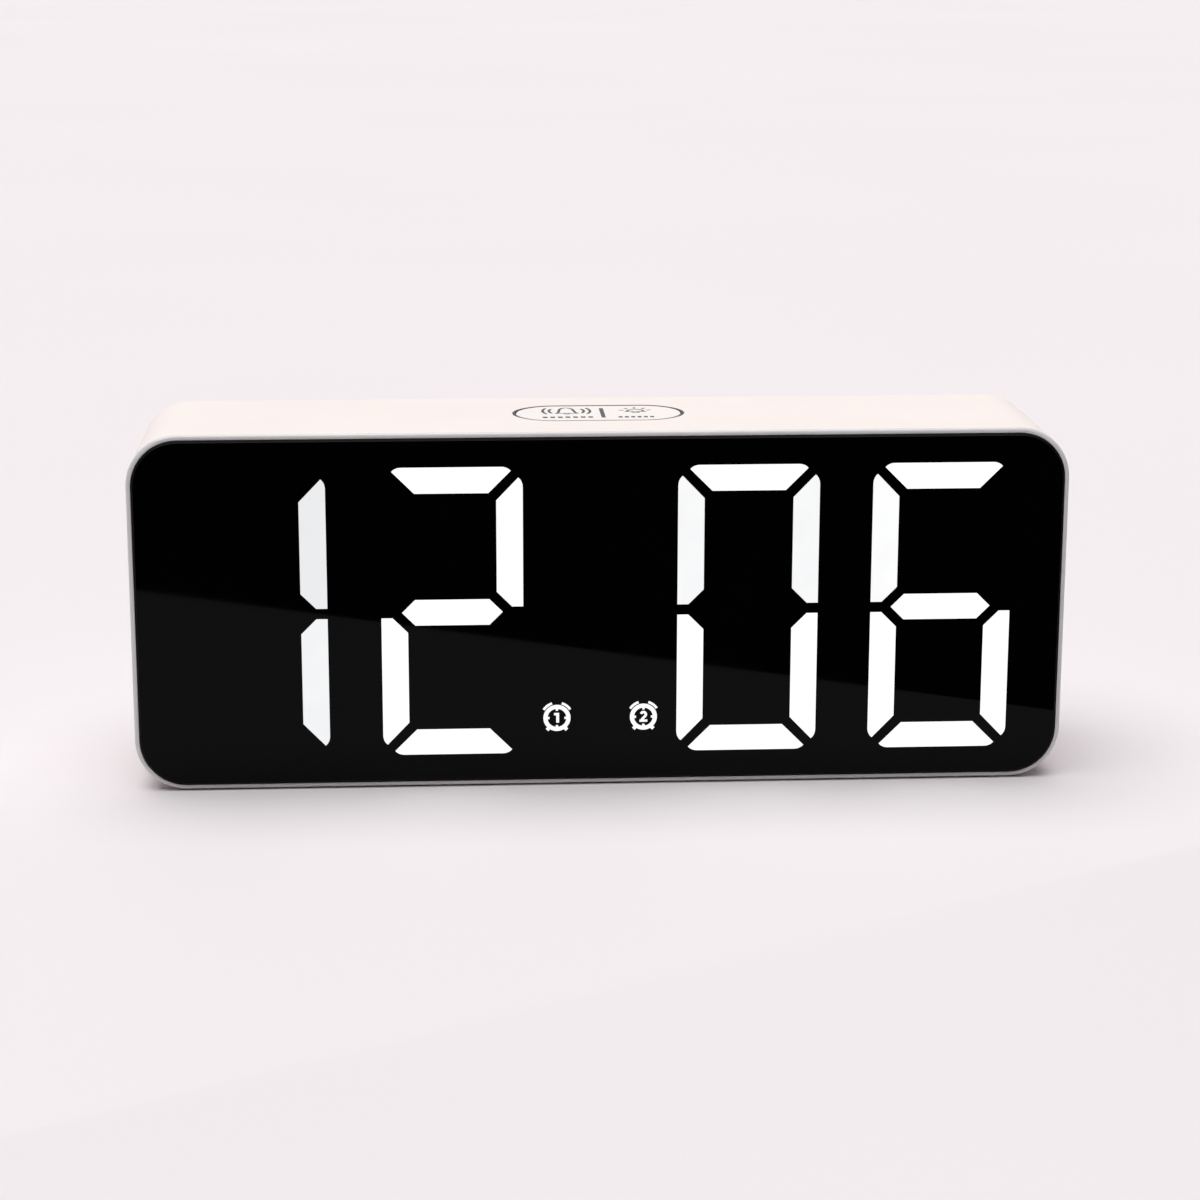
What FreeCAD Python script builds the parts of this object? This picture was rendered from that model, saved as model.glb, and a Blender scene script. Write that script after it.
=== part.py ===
import FreeCAD, Part
import math
import os
from FreeCAD import Placement, Rotation, Vector

# Digital table alarm clock with a gloss black front and four large lit digits.
# Millimetres, +Z up, front towards -Y, origin on the table under the middle of the case.

# ---- Case ----
CASE_WIDTH = 160.0
CASE_HEIGHT = 61.8
CASE_DEPTH = 36.0
CORNER_RADIUS = 8.8
WALL = 2.2
RIM = 0.8                  # white edge seen around the black front
FRONT_EDGE_RADIUS = 0.6
REAR_EDGE_RADIUS = 2.5
SEAM_RADIUS = 0.15         # eased edges on both sides of the seam between bezel and shell
FOOT_LIFT = 0.2            # how far the rubber feet hold the case off the table
FOOT_RADIUS = 4.0
FOOT_X = 64.0
FOOT_Y = 10.5
FOOT_SEAT = 0.6

LENS_PROUD = 0.4           # how far the lens stands out of the bezel
LENS_FRONT = -CASE_DEPTH / 2
FRONT = LENS_FRONT + LENS_PROUD
REAR = CASE_DEPTH / 2
BOTTOM = FOOT_LIFT
TOP = FOOT_LIFT + CASE_HEIGHT
MIDDLE = (BOTTOM + TOP) / 2
GAP = 0.1                  # fitting gap between parts that are assembled by hand

# ---- Front: layers behind each other, from the lens to the board ----
BEZEL_DEPTH = 0.7          # where the bezel meets the main shell
LENS_THICK = 0.6
TAPE_THICK = 0.1
TAPE_WIDTH = 2.9
MASK_THICK = 0.15
DIFFUSER_THICK = 0.3
LIGHT_BOX_DEPTH = 6.2
BOARD_THICK = 1.2
LEDGE_THICK = 1.4
LEDGE_INSET = 4.2          # inner edge of the ledge that carries the lens
SPIGOT_OUTER = 1.3
SPIGOT_INNER = 2.6
SPIGOT_LENGTH = 3.9
LIP_WALL = 1.2             # shell wall around the spigot
HOOK_X = 45.0              # hooks that hold the display board, and the snap beads beside them
HOOK_HALF = 4.0
BEAD_X = (8.0, 15.0)

PARTING = FRONT + BEZEL_DEPTH
LENS_BACK = LENS_FRONT + LENS_THICK
LEDGE_FRONT = LENS_BACK + TAPE_THICK
MASK_BACK = LENS_BACK + MASK_THICK
DIFFUSER_BACK = MASK_BACK + DIFFUSER_THICK
LIGHT_BOX_BACK = DIFFUSER_BACK + LIGHT_BOX_DEPTH
DISPLAY_BOARD_BACK = LIGHT_BOX_BACK + BOARD_THICK
DISPLAY_BOARD_INSET = 4.2

# ---- Digits: seven segments each ----
DISPLAY_SHIFT = -0.24      # middle of the display from the middle of the case
INNER_DIGIT = 25.24        # from the middle of the display to an inner digit's middle
DIGIT_PITCH = 33.25
DIGIT_CENTRES = (
    DISPLAY_SHIFT - INNER_DIGIT - DIGIT_PITCH,
    DISPLAY_SHIFT - INNER_DIGIT,
    DISPLAY_SHIFT + INNER_DIGIT,
    DISPLAY_SHIFT + INNER_DIGIT + DIGIT_PITCH,
)
DIGIT_HALF_WIDTH = 12.07
DIGIT_HALF_HEIGHT = 25.15
DIGIT_MIDDLE = BOTTOM + 30.9
STROKE = 4.5
SEGMENT_GAP = 0.9          # half the gap between upper and lower segments
COLON_RADIUS = 1.9
COLON_RISE = 8.0
ICON_RADIUS = 2.6
ICON_OFFSET = 7.46
ICON_Z = BOTTOM + 11.94

# ---- Top key and its switch ----
KEY_X = 0.45
KEY_Y = 0.45
KEY_LENGTH = 28.75
KEY_WIDTH = 13.85
KEY_SLIT = 0.35            # between the key and the shell
KEY_RING_GAP = 0.15        # between the key and its trim ring
KEY_RING_WIDTH = 0.48
KEY_RING_DEPTH = 1.2
KEY_TRAVEL = 0.7
KEY_SKIRT = 3.5
KEY_POST_Z = TOP - 5.8
KEY_BOARD_TOP = TOP - 10.1
KEY_BOARD_POST_OFFSET = 19.4

# ---- Back ----
COVER_RECESS = 1.25
COVER_THICK = 2.1
COVER_INSET = 3.3
COVER_OUT = REAR - COVER_RECESS
COVER_IN = COVER_OUT - COVER_THICK
BOSS_INSET = 8.5
BOSS_RADIUS = 3.4
BOSS_FRONT = -3.0

BUTTON_NAMES = ("time", "alarm", "up", "down", "mode")
BUTTON_X = (-60.0, -49.0, -38.0, -27.0, -16.0)
BUTTON_Z = 42.0
BUTTON_LENGTH = 8.0
BUTTON_WIDTH = 4.4
BUTTON_SLIT = 0.25
BUTTON_PROUD = 1.0
BUTTON_FLANGE = 1.0
BUTTON_TRAVEL = 0.4

REAR_BOARD_BACK = 10.2
REAR_BOARD_FRONT = REAR_BOARD_BACK - BOARD_THICK
REAR_BOARD_X = (-66.0, -9.0)
REAR_BOARD_Z = (9.5, 54.5)
REAR_POSTS = ((-63.0, 13.0), (-12.5, 13.0), (-63.0, 51.0), (-12.5, 51.0))
SWITCH_TOP = REAR_BOARD_BACK + 2.5
PLUNGER_BACK = COVER_IN - GAP - BUTTON_FLANGE
PLUNGER_LENGTH = 2.2
SOCKET_X = -24.0
SOCKET_Z = 20.0
SOCKET_WIDTH = 8.94
SOCKET_HEIGHT = 3.2
BUZZER_X = -47.0
BUZZER_Z = 22.0
BUZZER_RADIUS = 7.0
SOUND_HOLE_RADIUS = 0.8

# ---- Flat cable between the boards ----
CABLE_X = -38.0
CABLE_UPPER_Z = 36.0
CABLE_LOWER_Z = 26.0
CABLE_HALF_WIDTH = 6.0
CABLE_HALF_THICK = 0.3
CABLE_BEND = 2.6
CABLE_SOCKET_DEPTH = 4.6

# ---- Battery bay: three AAA cells ----
CELL_RADIUS = 5.25
CELL_LENGTH = 43.6
NUB_RADIUS = 1.9
NUB_LENGTH = 0.9
CELL_PITCH = 11.3
BAY_X = 37.0
BAY_Z = 31.0
BAY_WIDTH = 51.0
BAY_HEIGHT = 34.5
BAY_WALL = 1.3
BAY_FLOOR = 4.1
CELL_Y = BAY_FLOOR + CELL_RADIUS + 0.25
DOOR_WIDTH = 56.0
DOOR_HEIGHT = 38.5
DOOR_THICK = 1.6
DOOR_GAP = 0.25
DOOR_IN = COVER_OUT - DOOR_THICK
DOOR_BOTTOM = BAY_Z - DOOR_HEIGHT / 2
HINGE_RADIUS = 1.55
HINGE_Y = COVER_OUT - HINGE_RADIUS
HINGE_Z = DOOR_BOTTOM + HINGE_RADIUS
HINGE_PIN_RADIUS = 0.7
HINGE_PIN_LENGTH = 1.6
PLATE_THICK = 0.35
SPRING_SPACE = 5.0
SPRING_RADIUS = 3.2
SPRING_WIRE = 0.25


# ---- Shape helpers ----
def box(x, y, z):
    """A box from (low, high) pairs."""
    return Part.makeBox(x[1] - x[0], y[1] - y[0], z[1] - z[0], Vector(x[0], y[0], z[0]))


def fuse(shapes):
    """One solid from shapes that meet."""
    return shapes[0].multiFuse(shapes[1:]).removeSplitter()


def cut(shape, tools):
    return shape.cut(Part.makeCompound(tools))


def group(shapes):
    return Part.makeCompound(shapes)


def edges_along(shape, direction):
    """The straight edges that run along a direction."""
    return [
        edge for edge in shape.Edges
        if isinstance(edge.Curve, Part.Line)
        and abs(abs(edge.tangentAt(edge.FirstParameter).dot(direction)) - 1) < 1e-6
    ]


def edges_at_depth(shape, y):
    """The edges that lie in one plane of constant Y."""
    return [
        edge for edge in shape.Edges
        if abs(edge.BoundBox.YMin - y) < 1e-6 and abs(edge.BoundBox.YMax - y) < 1e-6
    ]


def rounded_slab(x, y, z, radius):
    """A box with its four edges along Y rounded."""
    solid = box(x, y, z)
    return solid.makeFillet(radius, edges_along(solid, Vector(0, 1, 0)))


def case_slab(inset, y0, y1):
    """The case outline, drawn in by an inset, between two depths."""
    half = CASE_WIDTH / 2 - inset
    radius = max(CORNER_RADIUS - inset, 1.0)
    return rounded_slab((-half, half), (y0, y1), (BOTTOM + inset, TOP - inset), radius)


def case_ring(outer_inset, inner_inset, y0, y1):
    return case_slab(outer_inset, y0, y1).cut(case_slab(inner_inset, y0 - 1, y1 + 1))


def rod(start, end, radius):
    along = end - start
    return Part.makeCylinder(radius, along.Length, start, along)


def post_y(x, z, y0, y1, radius):
    return rod(Vector(x, y0, z), Vector(x, y1, z), radius)


def post_z(x, y, z0, z1, radius):
    return rod(Vector(x, y, z0), Vector(x, y, z1), radius)


def pill_flat(x, y, z, length, width):
    """A pill that lies in XY, its length along X, between two heights."""
    straight = (length - width) / 2
    sides = box((x - straight, x + straight), (y - width / 2, y + width / 2), z)
    ends = [post_z(x + side * straight, y, z[0], z[1], width / 2) for side in (-1, 1)]
    return fuse([sides] + ends)


def pill_upright(x, y, z, length, width):
    """A pill that stands in XZ, its length along X, between two depths."""
    straight = (length - width) / 2
    sides = box((x - straight, x + straight), y, (z - width / 2, z + width / 2))
    ends = [post_y(x + side * straight, z, y[0], y[1], width / 2) for side in (-1, 1)]
    return fuse([sides] + ends)


def outline_prism(start, steps, y0, y1):
    """Extrude a closed outline in XZ. A step is (end) or, for an arc, (middle, end)."""
    edges = []
    here = Vector(start[0], y0, start[1])
    for step in steps + [(start,)]:
        end = Vector(step[-1][0], y0, step[-1][1])
        if len(step) == 2:
            middle = Vector(step[0][0], y0, step[0][1])
            edges.append(Part.Arc(here, middle, end).toShape())
        else:
            edges.append(Part.LineSegment(here, end).toShape())
        here = end
    return Part.Face(Part.Wire(edges)).extrude(Vector(0, y1 - y0, 0))


def bent_tube(points, bend_radius, radius):
    """A round wire or tube: straight runs joined by tangent arcs."""
    edges = []
    here = points[0]
    for corner, after in zip(points[1:-1], points[2:]):
        arriving = (corner - here).normalize()
        leaving = (after - corner).normalize()
        half_turn = arriving.getAngle(leaving) / 2
        setback = bend_radius * math.tan(half_turn)
        arc_start = corner - arriving * setback
        arc_end = corner + leaving * setback
        inward = (leaving - arriving).normalize()
        arc_middle = corner + inward * (bend_radius / math.cos(half_turn) - bend_radius)
        edges.append(Part.LineSegment(here, arc_start).toShape())
        edges.append(Part.Arc(arc_start, arc_middle, arc_end).toShape())
        here = arc_end
    edges.append(Part.LineSegment(here, points[-1]).toShape())
    section = Part.Wire([Part.Circle(points[0], points[1] - points[0], radius).toShape()])
    return Part.Wire(edges).makePipeShell([section], True, False)


def screw(place, direction, head_radius, head_height, shank_radius, length):
    """A pan head screw with a cross recess; place is under the head, direction points out."""
    head = Part.makeCylinder(head_radius, head_height)
    head = head.makeFillet(head_height * 0.4, [head.Edges[0]])
    shank = Part.makeCylinder(shank_radius, length - shank_radius, Vector(0, 0, shank_radius - length))
    tip = Part.makeCone(0.2, shank_radius, shank_radius, Vector(0, 0, -length))
    solid = fuse([head, shank, tip])
    slot = head_radius * 0.55
    thin = head_radius * 0.13
    deep = (head_height * 0.45, head_height + 1)
    solid = cut(solid, [box((-slot, slot), (-thin, thin), deep), box((-thin, thin), (-slot, slot), deep)])
    solid.Placement = Placement(place, Rotation(Vector(0, 0, 1), direction))
    return solid


# ---- Digit windows, shared by the mask and the light box ----
def upright_segment(x, side, rise, y0, y1):
    """One of the four upright segments: side -1 or 1, rise -1 below or 1 above."""
    a = DIGIT_HALF_WIDTH
    b = DIGIT_HALF_HEIGHT

    def at(u, v):
        return (x + side * u, DIGIT_MIDDLE + rise * v)

    return outline_prism(
        at(a, SEGMENT_GAP),
        [
            (at(a, b - 3.5),),
            (at(a - 0.17, b - 2.6), at(a - 0.75, b - 2.0)),
            (at(a - STROKE, b - 5.75),),
            (at(a - STROKE, SEGMENT_GAP + 2.6),),
            (at(a - STROKE + 2.6, SEGMENT_GAP),),
        ],
        y0, y1,
    )


def end_segment(x, rise, y0, y1):
    """The top or bottom segment."""
    b = DIGIT_HALF_HEIGHT
    tip = DIGIT_HALF_WIDTH - 2.02
    inner = tip - STROKE + 0.7

    def at(u, v):
        return (x + u, DIGIT_MIDDLE + rise * v)

    return outline_prism(
        at(tip - 1.26, b),
        [
            (at(tip - 0.5, b - 0.17), at(tip, b - 0.7)),
            (at(inner, b - STROKE),),
            (at(-inner, b - STROKE),),
            (at(-tip, b - 0.7),),
            (at(-tip + 0.5, b - 0.17), at(-tip + 1.26, b)),
        ],
        y0, y1,
    )


def middle_segment(x, y0, y1):
    half = STROKE / 2
    tip = DIGIT_HALF_WIDTH - 3.5

    def at(u, v):
        return (x + u, DIGIT_MIDDLE + v)

    corners = [(half - tip, half), (tip - half, half), (tip, 0), (tip - half, -half), (half - tip, -half)]
    return outline_prism(at(-tip, 0), [(at(u, v),) for u, v in corners], y0, y1)


def display_windows(y0, y1):
    """Every lit shape: the segments of four digits, the colon and two alarm signs."""
    windows = []
    for x in DIGIT_CENTRES:
        windows += [upright_segment(x, side, rise, y0, y1) for side in (-1, 1) for rise in (-1, 1)]
        windows += [end_segment(x, rise, y0, y1) for rise in (-1, 1)]
        windows.append(middle_segment(x, y0, y1))
    for rise in (-COLON_RISE, COLON_RISE):
        windows.append(post_y(DISPLAY_SHIFT, DIGIT_MIDDLE + rise, y0, y1, COLON_RADIUS))
    for side in (-1, 1):
        windows.append(post_y(DISPLAY_SHIFT + side * ICON_OFFSET, ICON_Z, y0, y1, ICON_RADIUS))
    return windows


# ---- Front ----
def front_bezel():
    """White frame: thin rim, ledge for the lens, spigot into the shell, hooks for the board."""
    rim = case_slab(0, FRONT, PARTING)
    rim = rim.makeFillet(FRONT_EDGE_RADIUS, edges_at_depth(rim, FRONT))
    rim = rim.makeFillet(SEAM_RADIUS, edges_at_depth(rim, PARTING))
    lens_pocket = case_slab(RIM, FRONT - 1, LEDGE_FRONT)
    display_opening = case_slab(LEDGE_INSET, LEDGE_FRONT - 1, PARTING + 1)
    spigot_back = PARTING + SPIGOT_LENGTH
    ledge_back = LEDGE_FRONT + LEDGE_THICK
    frame = [
        cut(rim, [lens_pocket, display_opening]),
        case_ring(SPIGOT_OUTER, LEDGE_INSET, LEDGE_FRONT, ledge_back),
        case_ring(SPIGOT_OUTER, SPIGOT_INNER, LEDGE_FRONT, spigot_back),
    ]
    hook_back = DISPLAY_BOARD_BACK + 0.85
    for x in (-HOOK_X, HOOK_X):
        across = (x - HOOK_HALF, x + HOOK_HALF)
        for rise in (-1, 1):
            wall = MIDDLE + rise * (CASE_HEIGHT / 2)
            arm = sorted((wall - rise * 2.4, wall - rise * 3.4))
            barb = sorted((wall - rise * 2.4, wall - rise * 5.0))
            frame.append(box(across, (LEDGE_FRONT, hook_back), arm))
            frame.append(box(across, (DISPLAY_BOARD_BACK + 0.05, hook_back), barb))
            bead = sorted((wall - rise * 0.8, wall - rise * 2.0))
            frame.append(box((x + BEAD_X[0], x + BEAD_X[1]), (PARTING + 1.2, PARTING + 2.2), bead))
    return fuse(frame)


def front_lens():
    """Smoked gloss plate that covers the whole front, its front edge chamfered back to the bezel."""
    plate = case_slab(RIM + 0.05, LENS_FRONT, LENS_BACK)
    return plate.makeChamfer(LENS_PROUD, edges_at_depth(plate, LENS_FRONT))


def lens_tape():
    return case_ring(RIM + 0.15, RIM + 0.15 + TAPE_WIDTH, LENS_BACK, LEDGE_FRONT)


def digit_mask():
    """Black film behind the lens with a window for each lit shape."""
    film = case_slab(LEDGE_INSET + 0.2, LENS_BACK, MASK_BACK)
    return cut(film, display_windows(LENS_BACK - 1, MASK_BACK + 1))


def diffuser_film():
    return case_slab(LEDGE_INSET + 0.3, MASK_BACK, DIFFUSER_BACK)


def light_box():
    """White block with one light well behind each window."""
    block = case_slab(LEDGE_INSET + 0.4, DIFFUSER_BACK, LIGHT_BOX_BACK)
    return cut(block, display_windows(DIFFUSER_BACK - 1, LIGHT_BOX_BACK + 1))


def display_board():
    board = case_slab(DISPLAY_BOARD_INSET, LIGHT_BOX_BACK, DISPLAY_BOARD_BACK)
    tooling = [post_y(x, MIDDLE, LIGHT_BOX_BACK - 1, DISPLAY_BOARD_BACK + 1, 1.5) for x in (-74.0, 74.0)]
    return cut(board, tooling)


def small_led(x, z):
    """A surface-mount light: base block with a low round lens, facing the front."""
    base = box((x - 1.0, x + 1.0), (LIGHT_BOX_BACK - 0.5, LIGHT_BOX_BACK), (z - 0.6, z + 0.6))
    return fuse([base, post_y(x, z, LIGHT_BOX_BACK - 0.75, LIGHT_BOX_BACK - 0.3, 0.5)])


def segment_leds():
    leds = []
    column = DIGIT_HALF_WIDTH - STROKE / 2
    row = DIGIT_HALF_HEIGHT - STROKE / 2
    for x in DIGIT_CENTRES:
        for side in (-column, column):
            for height in (-17.0, -8.0, 8.0, 17.0):
                leds.append(small_led(x + side, DIGIT_MIDDLE + height))
        for height in (-row, 0, row):
            for side in (-4.0, 4.0):
                leds.append(small_led(x + side, DIGIT_MIDDLE + height))
    return group(leds)


def indicator_leds():
    """The colon's two lights and the two alarm signs' lights."""
    colon = [small_led(DISPLAY_SHIFT, DIGIT_MIDDLE + rise) for rise in (-COLON_RISE, COLON_RISE)]
    signs = [small_led(DISPLAY_SHIFT + side * ICON_OFFSET, ICON_Z) for side in (-1, 1)]
    return group(colon + signs)


def chip(x, z, width, height, thick, pitch, legs_per_side):
    """A flat chip on the display board's back, legs above and below."""
    face = DISPLAY_BOARD_BACK
    body_x = (x - width / 2, x + width / 2)
    body_z = (z - height / 2, z + height / 2)
    parts = [box(body_x, (face + 0.15, face + thick), body_z)]
    leg_level = face + thick * 0.4
    first = x - pitch * (legs_per_side - 1) / 2
    for i in range(legs_per_side):
        leg = (first + i * pitch - pitch * 0.2, first + i * pitch + pitch * 0.2)
        for side in (-1, 1):
            edge = z + side * height / 2
            shoulder = sorted((edge - side * 0.3, edge + side * 0.5))
            drop = sorted((edge + side * 0.3, edge + side * 0.5))
            foot = sorted((edge + side * 0.3, edge + side * 1.1))
            parts.append(box(leg, (leg_level, leg_level + 0.2), shoulder))
            parts.append(box(leg, (face, leg_level + 0.2), drop))
            parts.append(box(leg, (face, face + 0.2), foot))
    return fuse(parts)


def clock_crystal():
    """A small tin can crystal lying on the board with its two leads."""
    y = DISPLAY_BOARD_BACK + 1.05
    can = rod(Vector(46, y, 42), Vector(52, y, 42), 1.0)
    leads = []
    for z in (41.6, 42.4):
        path = [Vector(52.0, y, z), Vector(54.0, y, z), Vector(54.0, DISPLAY_BOARD_BACK, z)]
        leads.append(bent_tube(path, 0.5, 0.15))
    return fuse([can] + leads)


def filter_capacitors():
    cans = []
    for x in (57.0, 66.0):
        can = post_y(x, 16.0, DISPLAY_BOARD_BACK, DISPLAY_BOARD_BACK + 7.0, 3.0)
        cans.append(can.makeFillet(0.5, edges_at_depth(can, DISPLAY_BOARD_BACK + 7.0)))
    return group(cans)


# ---- Flat cable ----
def cable_socket(face, away, z):
    """Open-topped socket for the flat cable; away is +1 or -1 along Y from the board."""
    y = sorted((face, face + away * CABLE_SOCKET_DEPTH))
    body = box((CABLE_X - 8, CABLE_X + 8), y, (z - 2.5, z + 2.5))
    slot = sorted((face + away * 1.5, face + away * (CABLE_SOCKET_DEPTH + 1)))
    return body.cut(box((CABLE_X - 6.3, CABLE_X + 6.3), slot, (z - 0.6, z + 0.6)))


def ribbon_cable():
    """Flat cable in an S from the display board's socket to the rear board's."""
    start = DISPLAY_BOARD_BACK + 1.6
    end = REAR_BOARD_FRONT - 1.6
    middle = (start + end) / 2
    path = [Vector(CABLE_X, y, z) for y, z in (
        (start, CABLE_UPPER_Z), (middle, CABLE_UPPER_Z), (middle, CABLE_LOWER_Z), (end, CABLE_LOWER_Z))]
    edges = []
    here = path[0]
    for corner, after in zip(path[1:-1], path[2:]):
        arriving = (corner - here).normalize()
        leaving = (after - corner).normalize()
        inward = (leaving - arriving).normalize()
        arc_start = corner - arriving * CABLE_BEND
        arc_middle = corner + inward * CABLE_BEND * (math.sqrt(2) - 1)
        arc_end = corner + leaving * CABLE_BEND
        edges.append(Part.LineSegment(here, arc_start).toShape())
        edges.append(Part.Arc(arc_start, arc_middle, arc_end).toShape())
        here = arc_end
    edges.append(Part.LineSegment(here, path[-1]).toShape())
    flat = CABLE_HALF_WIDTH
    thin = CABLE_HALF_THICK
    corners = [
        Vector(CABLE_X + u, start, CABLE_UPPER_Z + w)
        for u, w in ((-flat, -thin), (flat, -thin), (flat, thin), (-flat, thin), (-flat, -thin))
    ]
    section = Part.makePolygon(corners)
    return Part.Wire(edges).makePipeShell([section], True, False)


# ---- Main shell and feet ----
def boss_places():
    x = CASE_WIDTH / 2 - BOSS_INSET
    return [(side * x, z) for side in (-1, 1) for z in (BOTTOM + BOSS_INSET, TOP - BOSS_INSET)]


def main_shell():
    """White sleeve with corner screw bosses, the key opening and posts for the key's board."""
    outer = case_slab(0, PARTING, REAR)
    outer = outer.makeFillet(REAR_EDGE_RADIUS, edges_at_depth(outer, REAR))
    outer = outer.makeFillet(SEAM_RADIUS, edges_at_depth(outer, PARTING))
    rear_lip = COVER_IN - 0.4
    sleeve = cut(outer, [
        case_slab(WALL, PARTING - 1, rear_lip),
        case_slab(LIP_WALL, PARTING - 1, PARTING + SPIGOT_LENGTH + GAP),
        case_slab(COVER_INSET - GAP, rear_lip - 1, REAR + 1),
    ])
    solids = [sleeve]
    for x, z in boss_places():
        solids.append(post_y(x, z, BOSS_FRONT, COVER_IN, BOSS_RADIUS))
        side = math.copysign(1, x)
        up = math.copysign(1, z - MIDDLE)
        web_x = sorted((x, side * (CASE_WIDTH / 2 - WALL / 2)))
        web_z = sorted((z, MIDDLE + up * (CASE_HEIGHT / 2 - WALL / 2)))
        solids.append(box(web_x, (BOSS_FRONT, COVER_IN - 0.4), (z - 0.8, z + 0.8)))
        solids.append(box((x - 0.8, x + 0.8), (BOSS_FRONT, COVER_IN - 0.4), web_z))
    for side in (-1, 1):
        x = KEY_X + side * KEY_BOARD_POST_OFFSET
        solids.append(post_z(x, KEY_Y, KEY_BOARD_TOP, TOP - WALL / 2, 2.4))
    shell = fuse(solids)
    holes = [key_pill((TOP - WALL - 1, TOP + 1), KEY_SLIT)]
    holes.append(key_pill((TOP - KEY_RING_DEPTH, TOP + 1), KEY_RING_GAP + KEY_RING_WIDTH))
    holes += [post_y(x, z, BOSS_FRONT + 4, COVER_IN + 1, 1.3) for x, z in boss_places()]
    for side in (-1, 1):
        x = KEY_X + side * KEY_BOARD_POST_OFFSET
        holes.append(post_z(x, KEY_Y, KEY_BOARD_TOP - 1, KEY_BOARD_TOP + 5.5, 0.85))
    holes += [post_z(x, y, BOTTOM - 1, BOTTOM + FOOT_SEAT, FOOT_RADIUS + 0.1) for x, y in foot_places()]
    for x in (-HOOK_X, HOOK_X):
        across = (x + BEAD_X[0] - GAP, x + BEAD_X[1] + GAP)
        for rise in (-1, 1):
            wall = MIDDLE + rise * (CASE_HEIGHT / 2)
            pocket = sorted((wall - rise * 0.7, wall - rise * 2.0))
            holes.append(box(across, (PARTING + 1.1, PARTING + 2.3), pocket))
    return cut(shell, holes)


def foot_places():
    return [(x, y) for x in (-FOOT_X, FOOT_X) for y in (-FOOT_Y, FOOT_Y)]


def foot_pads():
    """Four round rubber pads, stuck in shallow seats."""
    pads = []
    for x, y in foot_places():
        pad = post_z(x, y, 0, BOTTOM + FOOT_SEAT, FOOT_RADIUS)
        pads.append(pad.makeFillet(0.3, [e for e in pad.Edges if abs(e.BoundBox.ZMax) < 1e-6]))
    return group(pads)


# ---- Top key ----
def key_pill(z, grow):
    """The key's outline between two heights, larger all round by grow."""
    return pill_flat(KEY_X, KEY_Y, z, KEY_LENGTH + 2 * grow, KEY_WIDTH + 2 * grow)


def key_trim_ring():
    """Black ring round the key, seated in a rebate of the shell's opening."""
    height = (TOP - KEY_RING_DEPTH, TOP)
    tall = (height[0] - 1, height[1] + 1)
    return key_pill(height, KEY_RING_GAP + KEY_RING_WIDTH).cut(key_pill(tall, KEY_RING_GAP))


def snooze_key():
    """Hollow pill key with retaining tabs at its ends and a post over the switch."""
    cap = key_pill((TOP - KEY_SKIRT, TOP), 0)
    top_edges = [edge for edge in cap.Edges if abs(edge.BoundBox.ZMin - TOP) < 1e-6]
    cap = cap.makeFillet(0.2, top_edges)
    cap = cap.cut(key_pill((TOP - KEY_SKIRT - 1, TOP - 1.8), -1.2))
    tab_top = TOP - WALL - 0.15
    parts = [cap, post_z(KEY_X, KEY_Y, KEY_POST_Z, TOP - 1, 2.0)]
    rib = KEY_LENGTH / 2 - 1.0
    parts.append(box((KEY_X - rib, KEY_X + rib), (KEY_Y - 0.5, KEY_Y + 0.5), (TOP - KEY_SKIRT, TOP - 1)))
    for side in (-1, 1):
        tab = sorted((KEY_X + side * (KEY_LENGTH / 2 - 0.9), KEY_X + side * (KEY_LENGTH / 2 + 1.3)))
        parts.append(box(tab, (KEY_Y - 2.5, KEY_Y + 2.5), (TOP - KEY_SKIRT, tab_top)))
    return fuse(parts)


def key_switch_plunger():
    return post_z(KEY_X, KEY_Y, KEY_BOARD_TOP + 1.75, KEY_POST_Z, 1.7)


def key_switch_body():
    """Push switch on the key's board, with a well for its plunger."""
    top = KEY_BOARD_TOP + 3.5
    body = box((KEY_X - 3, KEY_X + 3), (KEY_Y - 3, KEY_Y + 3), (KEY_BOARD_TOP, top))
    body = body.cut(post_z(KEY_X, KEY_Y, KEY_BOARD_TOP + 1.75 - KEY_TRAVEL - 0.2, top + 1, 1.78))
    legs = []
    for side in (-1, 1):
        for y in (KEY_Y - 2.25, KEY_Y + 2.25):
            leg = sorted((KEY_X + side * 2.9, KEY_X + side * 4.2))
            legs.append(box(leg, (y - 0.35, y + 0.35), (KEY_BOARD_TOP, KEY_BOARD_TOP + 0.4)))
    return fuse([body] + legs)


def key_board():
    bottom = KEY_BOARD_TOP - BOARD_THICK
    board = box((KEY_X - 23, KEY_X + 23), (KEY_Y - 5.5, KEY_Y + 5.5), (bottom, KEY_BOARD_TOP))
    board = board.makeFillet(1.5, edges_along(board, Vector(0, 0, 1)))
    holes = [
        post_z(KEY_X + side * KEY_BOARD_POST_OFFSET, KEY_Y, bottom - 1, KEY_BOARD_TOP + 1, 1.1)
        for side in (-1, 1)
    ]
    return cut(board, holes)


def key_board_screws():
    screws = []
    for side in (-1, 1):
        place = Vector(KEY_X + side * KEY_BOARD_POST_OFFSET, KEY_Y, KEY_BOARD_TOP - BOARD_THICK)
        screws.append(screw(place, Vector(0, 0, -1), 1.8, 1.2, 0.8, 5.5))
    return group(screws)


def key_wires():
    """Two wires from the key's board to the display board."""
    bottom = KEY_BOARD_TOP - BOARD_THICK
    wires = []
    for x in (-13.0, -11.0):
        path = [Vector(x, -3, bottom), Vector(x, -3, 44), Vector(x, DISPLAY_BOARD_BACK, 44)]
        wires.append(bent_tube(path, 3.5, 0.5))
    return group(wires)


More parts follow.
